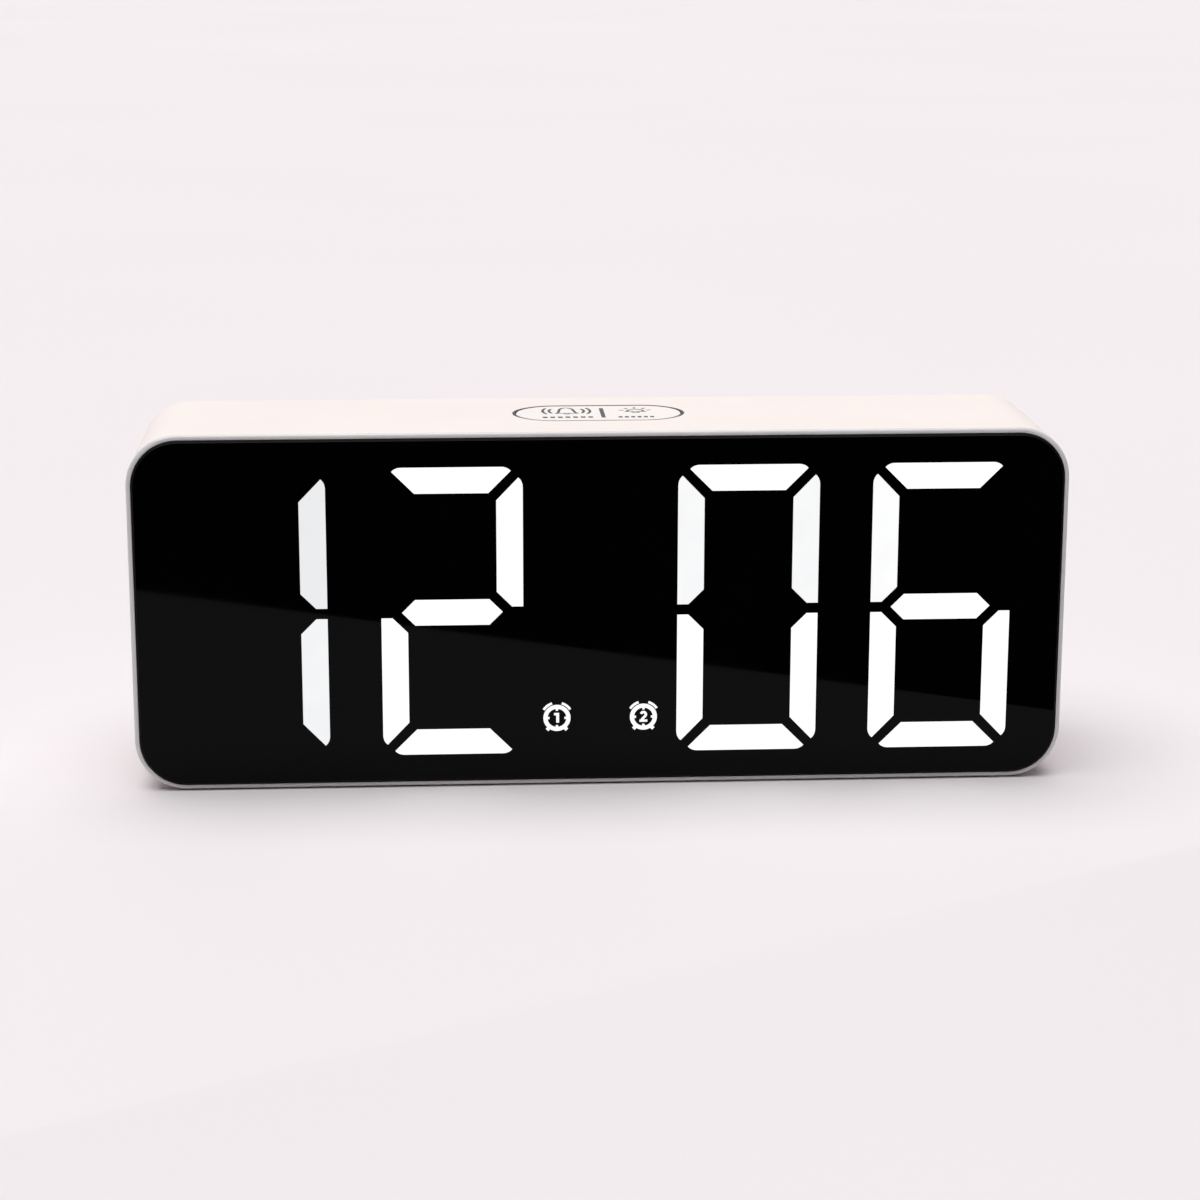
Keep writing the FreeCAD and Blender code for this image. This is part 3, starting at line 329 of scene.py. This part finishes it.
def two_wires(name, split, axis, upper, lower):
    """Insulation in two colours, one for the wire on each side of a plane."""
    material, tree, shader = new_material(name)
    along = node(tree, "ShaderNodeSeparateXYZ", Vector=place_of(tree)).outputs[axis]
    side = ranged(tree, along, 0.0, 1.0, split - 0.1 * MM, split + 0.1 * MM)
    waxy = ranged(tree, noise(tree, 700.0), 0.0, 0.2)
    put(tree, shader.inputs["Base Color"], mix(tree, waxy, mix(tree, side, lower, upper), (0.5, 0.5, 0.5)))
    put(tree, shader.inputs["Roughness"], ranged(tree, noise(tree, 500.0), 0.4, 0.55))
    return material


def flat_cable():
    """Ribbon cable: parallel cores 1 mm apart that show as ridges, with one marked edge."""
    material, tree, shader = new_material("ribbon_grey")
    across = node(tree, "ShaderNodeSeparateXYZ", Vector=place_of(tree)).outputs["X"]
    cores = maths(tree, "SINE", maths(tree, "MULTIPLY", across, 2 * math.pi / (1.0 * MM)))
    mark = ranged(tree, across, 1.0, 0.0, cable_low.x + 0.9 * MM, cable_low.x + 1.1 * MM)
    grey = mix(tree, ranged(tree, noise(tree, 300.0), 0.0, 1.0), (0.36, 0.37, 0.40), (0.42, 0.43, 0.46))
    put(tree, shader.inputs["Base Color"], mix(tree, mark, grey, (0.45, 0.04, 0.03)))
    put(tree, shader.inputs["Roughness"], ranged(tree, noise(tree, 500.0), 0.4, 0.5))
    put(tree, shader.inputs["Normal"], bump(tree, cores, 1.0, 0.15 * MM))
    return material


def chip_body(name, half_body):
    """Black moulded chip; what lies further than half_body above or below its middle is a tinned leg."""
    material, tree, shader = new_material(name)
    low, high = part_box(name)
    parts = node(tree, "ShaderNodeSeparateXYZ", Vector=place_of(tree))
    away = maths(tree, "ABSOLUTE", maths(tree, "SUBTRACT", parts.outputs["Z"], (low.z + high.z) / 2))
    legs = ranged(tree, away, 0.0, 1.0, half_body - 0.02 * MM, half_body + 0.02 * MM)
    epoxy = mix(tree, ranged(tree, noise(tree, 1500.0), 0.0, 1.0), (0.018, 0.018, 0.02), (0.03, 0.03, 0.032))
    put(tree, shader.inputs["Base Color"], mix(tree, legs, epoxy, (0.66, 0.66, 0.64)))
    put(tree, shader.inputs["Metallic"], legs)
    put(tree, shader.inputs["Roughness"], ranged(tree, noise(tree, 1500.0), 0.4, 0.6))
    return material


WARM_WHITE = (0.90, 0.835, 0.81)
shell_white = moulded("shell_white", WARM_WHITE, 0.40)
# The bezel is the shell's white plastic made darker and cooler grey: painted shade for its dimly lit front
# rim.
bezel_shaded_white = moulded("bezel_shaded_white", (0.72, 0.705, 0.72), 0.20)
key_white = moulded("key_white", (0.90, 0.855, 0.84), 0.36, grain=3200.0, depth=0.006)
cover_white = moulded("cover_white", shade(WARM_WHITE, 0.97), 0.48, grain=1500.0, depth=0.018)
button_grey = moulded("button_grey", (0.60, 0.585, 0.57), 0.38, wear_and_highlight=0.08)
matte_black = moulded("matte_black", (0.03, 0.03, 0.031), 0.55)
switch_black = moulded("switch_black", (0.035, 0.035, 0.035), 0.45)
film_white = moulded("film_white", (0.86, 0.87, 0.89), 0.5, grain=5000.0, depth=0.003)
reflector_white = moulded("reflector_white", (0.88, 0.88, 0.87), 0.55)
socket_cream = moulded("socket_cream", (0.72, 0.66, 0.50), 0.4)
led_clear = moulded("led_clear", (0.80, 0.80, 0.55), 0.2, grain=6000.0, depth=0.002)
foot_rubber = rubber("foot_rubber", (0.028, 0.028, 0.03))
tape_foam = rubber("tape_foam", (0.012, 0.012, 0.012))
zinc = metal("zinc_screw", (0.60, 0.60, 0.62), 0.32, (1.0, 1.0, 1.0))
nickel = metal("nickel_contact", (0.70, 0.68, 0.63), 0.25, (1.0, 1.0, 0.1))
tin = metal("bright_tin", (0.74, 0.74, 0.75), 0.22, (1.0, 0.1, 1.0))
drawn_can = metal("drawn_can", (0.62, 0.63, 0.66), 0.3, (1.0, 0.08, 1.0))
board_upright = circuit_board("board_upright", ("X", "Z"))
board_flat = circuit_board("board_flat", ("X", "Y"))
lens_black = gloss_lens()
lens_edge = satin_edge()
display_light = lit_window()
dark_ink = printed_ink("dark_ink", (0.035, 0.035, 0.04))
grey_ink = printed_ink("grey_ink", (0.30, 0.30, 0.30))

KEY_WIRE_SPLIT = (key_wire_low.x + key_wire_high.x) / 2
BATTERY_WIRE_SPLIT = (door_low.z + door_high.z) / 2
RED = (0.45, 0.015, 0.012)
GREY = (0.7, 0.7, 0.68)
BLACK = (0.02, 0.02, 0.02)

CAD_MATERIALS = {
    "front_bezel": bezel_shaded_white,
    "main_shell": shell_white,
    "rear_cover": cover_white,
    "battery_door": cover_white,
    "snooze_key": key_white,
    "lens_tape": tape_foam,
    "digit_mask": matte_black,
    "diffuser_film": film_white,
    "light_box": reflector_white,
    "display_board": board_upright,
    "rear_board": board_upright,
    "key_board": board_flat,
    "segment_leds": led_clear,
    "indicator_leds": led_clear,
    "controller_chip": chip_body("controller_chip", 5.0 * MM),
    "driver_chip": chip_body("driver_chip", 3.75 * MM),
    "clock_crystal": tin,
    "filter_capacitors": drawn_can,
    "display_cable_socket": socket_cream,
    "rear_cable_socket": socket_cream,
    "ribbon_cable": flat_cable(),
    "foot_pads": foot_rubber,
    "key_trim_ring": matte_black,
    "key_switch_plunger": switch_black,
    "key_switch_body": switch_black,
    "button_switches": switch_black,
    "power_socket_tongue": switch_black,
    "key_board_screws": zinc,
    "cover_screws": zinc,
    "rear_board_screws": zinc,
    "power_socket_shell": tin,
    "buzzer": matte_black,
    "battery_plates": nickel,
    "battery_springs": nickel,
    "key_wires": two_wires("key_wires", KEY_WIRE_SPLIT, "X", GREY, BLACK),
    "battery_wires": two_wires("battery_wires", BATTERY_WIRE_SPLIT, "Z", RED, BLACK),
}
for name in ("time", "alarm", "up", "down", "mode"):
    CAD_MATERIALS[name + "_button"] = button_grey
    CAD_MATERIALS[name + "_plunger"] = switch_black
for number, plus_to_right in ((1, True), (2, False), (3, True)):
    cell = "battery_cell_" + str(number)
    low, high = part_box(cell)
    ends = (high.x, low.x) if plus_to_right else (low.x, high.x)
    CAD_MATERIALS[cell] = cell_sleeve(cell, *ends)

for name, material in CAD_MATERIALS.items():
    for material_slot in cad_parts[name].material_slots:
        material_slot.material = material


# ---- Mesh helpers ----
def arc(u, v, radius, start, end, steps=ARC_STEPS):
    """Points on an arc, angles in degrees."""
    angles = [math.radians(start + (end - start) * i / steps) for i in range(steps + 1)]
    return [(u + radius * math.cos(a), v + radius * math.sin(a)) for a in angles]


def band(points, width):
    """Pairs of points each side of a line, for a stroke of that width."""
    pairs = []
    for i, point in enumerate(points):
        before = Vector(points[max(i - 1, 0)])
        after = Vector(points[min(i + 1, len(points) - 1)])
        along = (after - before).normalized()
        side = Vector((-along.y, along.x)) * width / 2
        here = Vector(point)
        pairs.append((tuple(here + side), tuple(here - side)))
    return pairs


def stroke(points, width):
    """A stroke as four-sided patches."""
    pairs = band(points, width)
    return [[a[0], b[0], b[1], a[1]] for a, b in zip(pairs, pairs[1:])]


def strip_outline(points, width):
    """A stroke as one closed outline."""
    pairs = band(points, width)
    return [p[0] for p in pairs] + [p[1] for p in reversed(pairs)]


def add_piece(name, mesh, *materials):
    """Put a mesh in the scene as an object with these materials."""
    for material in materials:
        mesh.materials.append(material)
    piece = bpy.data.objects.new(name, mesh)
    bpy.context.scene.collection.objects.link(piece)
    return piece


def raised(name, outlines, origin, u_axis, v_axis, out, proud, sink, material):
    """Thin shapes that stand out of a face by proud and reach sink behind it."""
    mesh = bpy.data.meshes.new(name)
    bm = bmesh.new()
    for outline in outlines:
        base = [origin + u_axis * u + v_axis * v for u, v in outline]
        front = [bm.verts.new(p + out * proud) for p in base]
        back = [bm.verts.new(p - out * sink) for p in base]
        bm.faces.new(front)
        bm.faces.new(list(reversed(back)))
        for i in range(len(front)):
            j = (i + 1) % len(front)
            bm.faces.new((front[j], front[i], back[i], back[j]))
    bmesh.ops.recalc_face_normals(bm, faces=bm.faces)
    bm.to_mesh(mesh)
    bm.free()
    return add_piece(name, mesh, material)


# ---- Lens ----
LENS_CHAMFER = 0.4 * MM
LENS_CORNER = 7.95 * MM


def rounded_rectangle(low, high, radius, steps=14):
    """Outline between two corners, with its four corners rounded."""
    points = []
    for u, v, start in (
        (high[0] - radius, high[1] - radius, 0), (low[0] + radius, high[1] - radius, 90),
        (low[0] + radius, low[1] + radius, 180), (high[0] - radius, low[1] + radius, 270),
    ):
        points += arc(u, v, radius, start, start + 90, steps)
    return points


def front_lens():
    """The gloss plate: rounded outline and a satin chamfer round its front edge."""
    bm = bmesh.new()
    rings = []
    for inset, depth in ((LENS_CHAMFER, 0.0), (0.0, LENS_CHAMFER), (0.0, lens_high.y - lens_low.y)):
        outline = rounded_rectangle((lens_low.x + inset, lens_low.z + inset),
                                    (lens_high.x - inset, lens_high.z - inset), LENS_CORNER - inset)
        rings.append([bm.verts.new((x, LENS_FRONT + depth, z)) for x, z in outline])
    bm.faces.new(rings[0])
    bm.faces.new(list(reversed(rings[-1])))
    for first, second in zip(rings, rings[1:]):
        for i in range(len(first)):
            j = (i + 1) % len(first)
            face = bm.faces.new((first[j], first[i], second[i], second[j]))
            face.material_index = 1
    bmesh.ops.recalc_face_normals(bm, faces=bm.faces)
    mesh = bpy.data.meshes.new("lens_panel")
    bm.to_mesh(mesh)
    bm.free()
    piece = add_piece("lens_panel", mesh, lens_black, lens_edge)
    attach(piece, "case")
    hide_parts("front_lens")


# ---- Digits ----
def eased_corner(u, v, across, along, start, end):
    """Part of an ellipse about (u, v); angle 0 is its side at u + across, 90 its top at v + along."""
    angles = [math.radians(start + (end - start) * i / EASE_STEPS) for i in range(EASE_STEPS + 1)]
    return [(u + across * math.cos(a), v + along * math.sin(a)) for a in angles]


def upright_outline(x, side, rise):
    """An upright segment: side is -1 for left or 1 for right, rise is 1 for upper or -1 for lower."""
    a, b = DIGIT_HALF_WIDTH, DIGIT_HALF_HEIGHT
    inner = a - STROKE
    half = [
        (a, SEGMENT_GAP), *eased_corner(a - 1.5 * MM, b - 3.5 * MM, 1.5 * MM, 1.9 * MM, 0, 60),
        (inner, b - 5.75 * MM), (inner, SEGMENT_GAP + 2.6 * MM), (inner + 2.6 * MM, SEGMENT_GAP),
    ]
    return [(x + side * u, DIGIT_MIDDLE + rise * v) for u, v in half]


def end_outline(x, rise):
    """The top segment, or the bottom one with rise -1."""
    b = DIGIT_HALF_HEIGHT
    tip = DIGIT_HALF_WIDTH - 2.02 * MM
    inner = tip - STROKE + 0.7 * MM
    corner = eased_corner(tip - 1.6 * MM, b - 1.4 * MM, 1.85 * MM, 1.4 * MM, 30, 90)
    right = [*reversed(corner), (inner, b - STROKE)]
    left = [(-u, v) for u, v in reversed(right)]
    return [(x + u, DIGIT_MIDDLE + rise * v) for u, v in right + left]


def middle_outline(x):
    """The middle segment, pointed at both ends."""
    half = STROKE / 2
    tip = DIGIT_HALF_WIDTH - 3.5 * MM
    right = [(tip - half, half), (tip, 0.0), (tip - half, -half)]
    left = [(-u, -v) for u, v in right]
    return [(x + u, DIGIT_MIDDLE + v) for u, v in right + left]


def digit(number, x, lit):
    """The lit windows of one digit. lit names each segment and its light level inside its bright edge."""
    outlines = {
        "top": end_outline(x, 1), "bottom": end_outline(x, -1), "middle": middle_outline(x),
        "upper_left": upright_outline(x, -1, 1), "upper_right": upright_outline(x, 1, 1),
        "lower_left": upright_outline(x, -1, -1), "lower_right": upright_outline(x, 1, -1),
    }
    mesh = bpy.data.meshes.new("digit_" + str(number))
    bm = bmesh.new()
    glow = bm.verts.layers.float.new("glow")
    for segment, level in lit.items():
        front = [bm.verts.new((u, LENS_FRONT - LIT_PROUD, v)) for u, v in outlines[segment]]
        back = [bm.verts.new((u, LENS_FRONT + LIT_DEPTH, v)) for u, v in outlines[segment]]
        for i in range(len(front)):
            j = (i + 1) % len(front)
            bm.faces.new((front[j], front[i], back[i], back[j]))
        bm.faces.new(list(reversed(back)))
        face = bm.faces.new(front)
        for vert in front + back:
            vert[glow] = EDGE_LEVEL
        bmesh.ops.inset_individual(bm, faces=[face], thickness=LIT_EDGE)
        for vert in face.verts:
            vert[glow] = level
    bmesh.ops.recalc_face_normals(bm, faces=bm.faces)
    bm.to_mesh(mesh)
    bm.free()
    piece = add_piece("digit_" + str(number), mesh, display_light)
    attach(piece, "case")


DIGITS = (
    {"upper_right": 0.84, "lower_right": 0.90},
    {"top": FULL, "upper_right": 0.99, "middle": FULL, "lower_left": FULL, "bottom": FULL},
    {"top": FULL, "bottom": FULL, "upper_left": 0.93, "upper_right": 0.93, "lower_left": FULL,
     "lower_right": FULL},
    {"top": FULL, "middle": FULL, "bottom": FULL, "upper_left": 0.97, "lower_left": FULL,
     "lower_right": FULL},
)


# ---- Alarm signs: a small round clock with two bells, two feet and a numeral ----
def alarm_sign(number, x):
    """The sign's shapes are drawn in millimetres about its middle."""
    ring = 1.98
    thick, thin = 0.72, 0.42
    shapes = stroke(arc(0, 0, ring, 0, 360, 48), thick)
    for angle in (0, 90, 180, 270):
        reach = math.radians(angle)
        near, far = 1.28, 1.75
        shapes.append(strip_outline([(near * math.cos(reach), near * math.sin(reach)),
                                     (far * math.cos(reach), far * math.sin(reach))], thin))
    for side in (-1, 1):
        bell = [(side * u, v) for u, v in arc(0, 0, 2.72, 33, 72, 10)]
        shapes += stroke(bell, thin)
        foot = [(side * 1.35, -1.75), (side * 1.72, -2.14)]
        shapes.append(strip_outline(foot, 0.62))
    if number == 1:
        shapes += [strip_outline([(0.12, -0.85), (0.12, 0.9)], 0.5)]
        shapes += [strip_outline([(-0.5, 0.68), (0.0, 0.68)], thin)]
    else:
        top = arc(0.0, 0.40, 0.42, 165, -35, 10)
        shapes += stroke(top + [(-0.32, -0.55)], 0.44)
        shapes.append(strip_outline([(-0.68, -0.72), (0.68, -0.72)], thin))
    outlines = [[(u * MM, v * MM) for u, v in outline] for outline in shapes]
    piece = raised("alarm_sign_" + str(number), outlines, Vector((x, LENS_FRONT, SIGN_Z)), RIGHT, UP, -BACK,
                   LIT_PROUD, LIT_DEPTH, display_light)
    level = piece.data.attributes.new("glow", "FLOAT", "POINT")
    level.data.foreach_set("value", [FULL] * len(piece.data.vertices))
    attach(piece, "case")


# ---- Signs printed on the top key and the rear cover; their strokes are in millimetres ----
PRINT_PROUD = 0.012 * MM
PRINT_SINK = 0.05 * MM
DASH_HEIGHT = 1.25
SIGN_LIFT = 2.4 * MM
BOLT_LIFT = 3.4 * MM


def on_key(name, shapes, u, v):
    """Print shapes drawn in millimetres at a place on the key's top."""
    outlines = [[(a * MM, b * MM) for a, b in outline] for outline in shapes]
    origin = Vector((KEY_X + u * MM, KEY_Y + v * MM, KEY_TOP))
    piece = raised(name, outlines, origin, RIGHT, BACK, UP, PRINT_PROUD, PRINT_SINK, dark_ink)
    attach(piece, "snooze_key")


def bell_sign():
    """A bell between two pairs of sound waves."""
    shapes = []
    for side in (-1, 1):
        body = [(side * u, v) for u, v in ((0.5, 2.9), (1.0, 2.2), (1.25, 0.8), (1.45, -1.4), (1.95, -2.2))]
        shapes += stroke(body, 0.48)
        for radius in (2.95, 4.05):
            wave = [(side * u, v * 1.3) for u, v in arc(0.1, 0, radius, -32, 32, 8)]
            shapes += stroke(wave, 0.48)
    shapes += stroke(arc(0, 2.45, 0.68, 20, 160, 8), 0.36)
    shapes.append(strip_outline([(-1.95, -2.25), (1.95, -2.25)], 0.34))
    shapes += stroke(arc(0, -2.4, 0.5, 200, 340, 6), 0.4)
    return shapes


def lamp_sign():
    """A half-round lamp shade with a bulb below and rays around it."""
    shade_arc = [(u, v * 1.5 - 0.9) for u, v in arc(0, 0, 1.45, 0, 180, 14)]
    shapes = stroke(shade_arc, 0.42)
    shapes.append(strip_outline([(-1.9, -0.95), (1.9, -0.95)], 0.42))
    shapes += stroke(arc(0, -1.4, 0.6, 180, 360, 8), 0.42)
    for angle in (15, 52, 90, 128, 165):
        a = math.radians(angle)
        near, far = 2.05, 2.85
        shapes.append(strip_outline([(near * math.cos(a), near * 1.15 * math.sin(a) - 0.3),
                                     (far * math.cos(a), far * 1.15 * math.sin(a) - 0.3)], 0.42))
    return shapes


def dash_row(count, width):
    """A row of short dashes, in place of a word."""
    pitch = width / count
    first = -width / 2 + pitch / 2
    dash = 0.62 * pitch / 2
    return [
        strip_outline([(first + i * pitch - dash, 0), (first + i * pitch + dash, 0)], DASH_HEIGHT)
        for i in range(count)
    ]


def key_prints():
    """Left of the divider the bell over its dashes, right of it the lamp over its own."""
    on_key("key_print_bell", bell_sign(), -5.5, 1.9)
    on_key("key_print_bell_dashes", dash_row(7, 9.2), -5.5, -4.05)
    on_key("key_print_lamp", lamp_sign(), 6.55, 1.9)
    on_key("key_print_lamp_dashes", dash_row(6, 6.6), 6.35, -4.2)
    on_key("key_print_divider", [strip_outline([(0, 4.4), (0, -4.6)], 0.72)], 0.68, 0)


# ---- Signs printed on the back ----
def on_cover(name, shapes, x, z):
    """Print shapes drawn in millimetres at a place on the rear cover, as seen from behind."""
    outlines = [[(a * MM, b * MM) for a, b in outline] for outline in shapes]
    piece = raised(name, outlines, Vector((x, COVER_BACK, z)), -RIGHT, UP, BACK, PRINT_PROUD, PRINT_SINK,
                   grey_ink)
    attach(piece, "case")


def clock_sign():
    """A round clock face with two hands."""
    hands = [strip_outline([(0, 0), (0, 1.0)], 0.3), strip_outline([(0, 0), (0.75, -0.35)], 0.3)]
    return stroke(arc(0, 0, 1.6, 0, 360, 32), 0.32) + hands


def small_bell_sign():
    """A bell with its clapper."""
    line = 0.3
    shapes = []
    for side in (-1, 1):
        flank = [(side * u, v) for u, v in ((0.5, 1.4), (0.95, 0.6), (1.05, -0.7), (1.5, -1.1))]
        shapes += stroke(flank, line)
    shapes += stroke(arc(0, 1.1, 0.6, 25, 155, 8), line)
    shapes.append(strip_outline([(-1.5, -1.15), (1.5, -1.15)], line))
    return shapes + stroke(arc(0, -1.3, 0.45, 200, 340, 6), line)


def triangle_sign(rise):
    """A triangle that points up, or down with rise -1."""
    return [[(-1.3, -0.9 * rise), (1.3, -0.9 * rise), (0.0, 1.2 * rise)][:: int(rise)]]


def bars_sign():
    """Three level bars."""
    return [strip_outline([(-1.4, v), (1.4, v)], 0.36) for v in (-1.0, 0.0, 1.0)]


def back_prints():
    """A sign over each rear key and over the power socket."""
    signs = {
        "time": clock_sign(), "alarm": small_bell_sign(), "up": triangle_sign(1),
        "down": triangle_sign(-1), "mode": bars_sign(),
    }
    for name, shapes in signs.items():
        low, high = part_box(name + "_button")
        on_cover("cover_print_" + name, shapes, (low.x + high.x) / 2, high.z + SIGN_LIFT)
    low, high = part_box("power_socket_shell")
    bolt = [[(0.5, 1.6), (-0.9, -0.15), (-0.1, -0.15), (-0.5, -1.6), (0.9, 0.25), (0.1, 0.25)]]
    on_cover("cover_print_power", bolt, (low.x + high.x) / 2, high.z + BOLT_LIFT)


# ---- Stage ----
DIM_FRONT = (0.03, 0.05, 0.08)
PALE_WALL = (0.89, 0.84, 0.855)
FLOOR_REACH = 6.0
FLAG_LEFT = Vector((-0.0932, -0.1654, 0.0))
FLAG_RIGHT = Vector((0.0882, -0.0599, 0.0))
FLAG_HEIGHT = 0.6
LIGHT_FROM = Vector((-0.10, -0.045, 1.0))
LIGHT_SPREAD = math.radians(62)
DIFFUSE_WORLD = 0.15
EYE = (-0.02970, -0.50150, 0.15251)
LOOK_TURN = -0.0607
LOOK_DOWN = 0.2420
LOOK_ROLL = 0.0019


def floor():
    """A plain pale floor, wide enough to have no edge in view."""
    mesh = bpy.data.meshes.new("floor")
    bm = bmesh.new()
    bmesh.ops.create_grid(bm, x_segments=8, y_segments=8, size=FLOOR_REACH)
    bm.to_mesh(mesh)
    bm.free()
    material, tree, shader = new_material("floor_pale")
    drift = ranged(tree, noise(tree, 3.0, 2.0), 0.0, 1.0)
    put(tree, shader.inputs["Base Color"], mix(tree, drift, (0.820, 0.784, 0.812), (0.834, 0.798, 0.826)))
    shader.inputs["Roughness"].default_value = 0.7
    add_piece("floor", mesh, material)


def dark_flag():
    """A black studio card in front of the clock that only mirrors see; it darkens the lens's upper part."""
    reach = (FLAG_RIGHT - FLAG_LEFT) * 3.0
    left = FLAG_LEFT - reach
    right = FLAG_RIGHT + reach
    up = UP * FLAG_HEIGHT
    mesh = bpy.data.meshes.new("dark_flag")
    mesh.from_pydata([left, right, right + up, left + up], [], [(0, 1, 2, 3)])
    material, tree, shader = new_material("flag_black")
    shader.inputs["Base Color"].default_value = (0.002, 0.002, 0.002, 1.0)
    shader.inputs["Roughness"].default_value = 1.0
    shader.inputs["Specular IOR Level"].default_value = 0.0
    piece = add_piece("dark_flag", mesh, material)
    piece.visible_camera = False
    piece.visible_diffuse = False
    piece.visible_shadow = False
    piece.visible_transmission = False


def lights():
    """One broad soft light overhead, a little to the left, in a room that is dim in front and pale behind."""
    sun = bpy.data.lights.new("soft_top", "SUN")
    sun.energy = 3.3
    sun.angle = LIGHT_SPREAD
    sun.color = (1.0, 0.985, 0.965)
    lamp = bpy.data.objects.new("soft_top", sun)
    lamp.rotation_euler = LIGHT_FROM.to_track_quat("Z", "Y").to_euler()
    bpy.context.scene.collection.objects.link(lamp)
    world = bpy.data.worlds.new("studio")
    bpy.context.scene.world = world
    world.use_nodes = True
    tree = world.node_tree
    direction = tree.nodes.new("ShaderNodeTexCoord").outputs["Generated"]
    towards_back = node(tree, "ShaderNodeSeparateXYZ", Vector=direction).outputs["Y"]
    room = mix(tree, ranged(tree, towards_back, 0.0, 1.0, -0.3, 0.8), DIM_FRONT, PALE_WALL)
    path = tree.nodes.new("ShaderNodeLightPath")
    background = tree.nodes["Background"]
    put(tree, background.inputs["Color"], mix(tree, path.outputs["Is Camera Ray"], room, PALE_WALL))
    strength = ranged(tree, path.outputs["Is Diffuse Ray"], 1.0, DIFFUSE_WORLD, 0.0, 1.0)
    put(tree, background.inputs["Strength"], strength)
    bpy.context.scene.view_settings.view_transform = "Standard"


def camera():
    """Seen from a little left of the middle and above, from about half a metre."""
    data = bpy.data.cameras.new("camera")
    data.sensor_width = 36.0
    data.lens = 87.758
    piece = bpy.data.objects.new("camera", data)
    turn = Matrix.Rotation(LOOK_TURN, 4, "Z")
    tilt = Matrix.Rotation(math.pi / 2 - LOOK_DOWN, 4, "X")
    roll = Matrix.Rotation(LOOK_ROLL, 4, "Z")
    piece.matrix_world = Matrix.Translation(EYE) @ turn @ tilt @ roll
    bpy.context.scene.collection.objects.link(piece)
    bpy.context.scene.camera = piece


front_lens()
for number, (x, lit) in enumerate(zip(DIGIT_CENTRES, DIGITS), start=1):
    digit(number, x, lit)
for number, x in enumerate(SIGN_X, start=1):
    alarm_sign(number, x)
key_prints()
back_prints()
floor()
dark_flag()
lights()
camera()
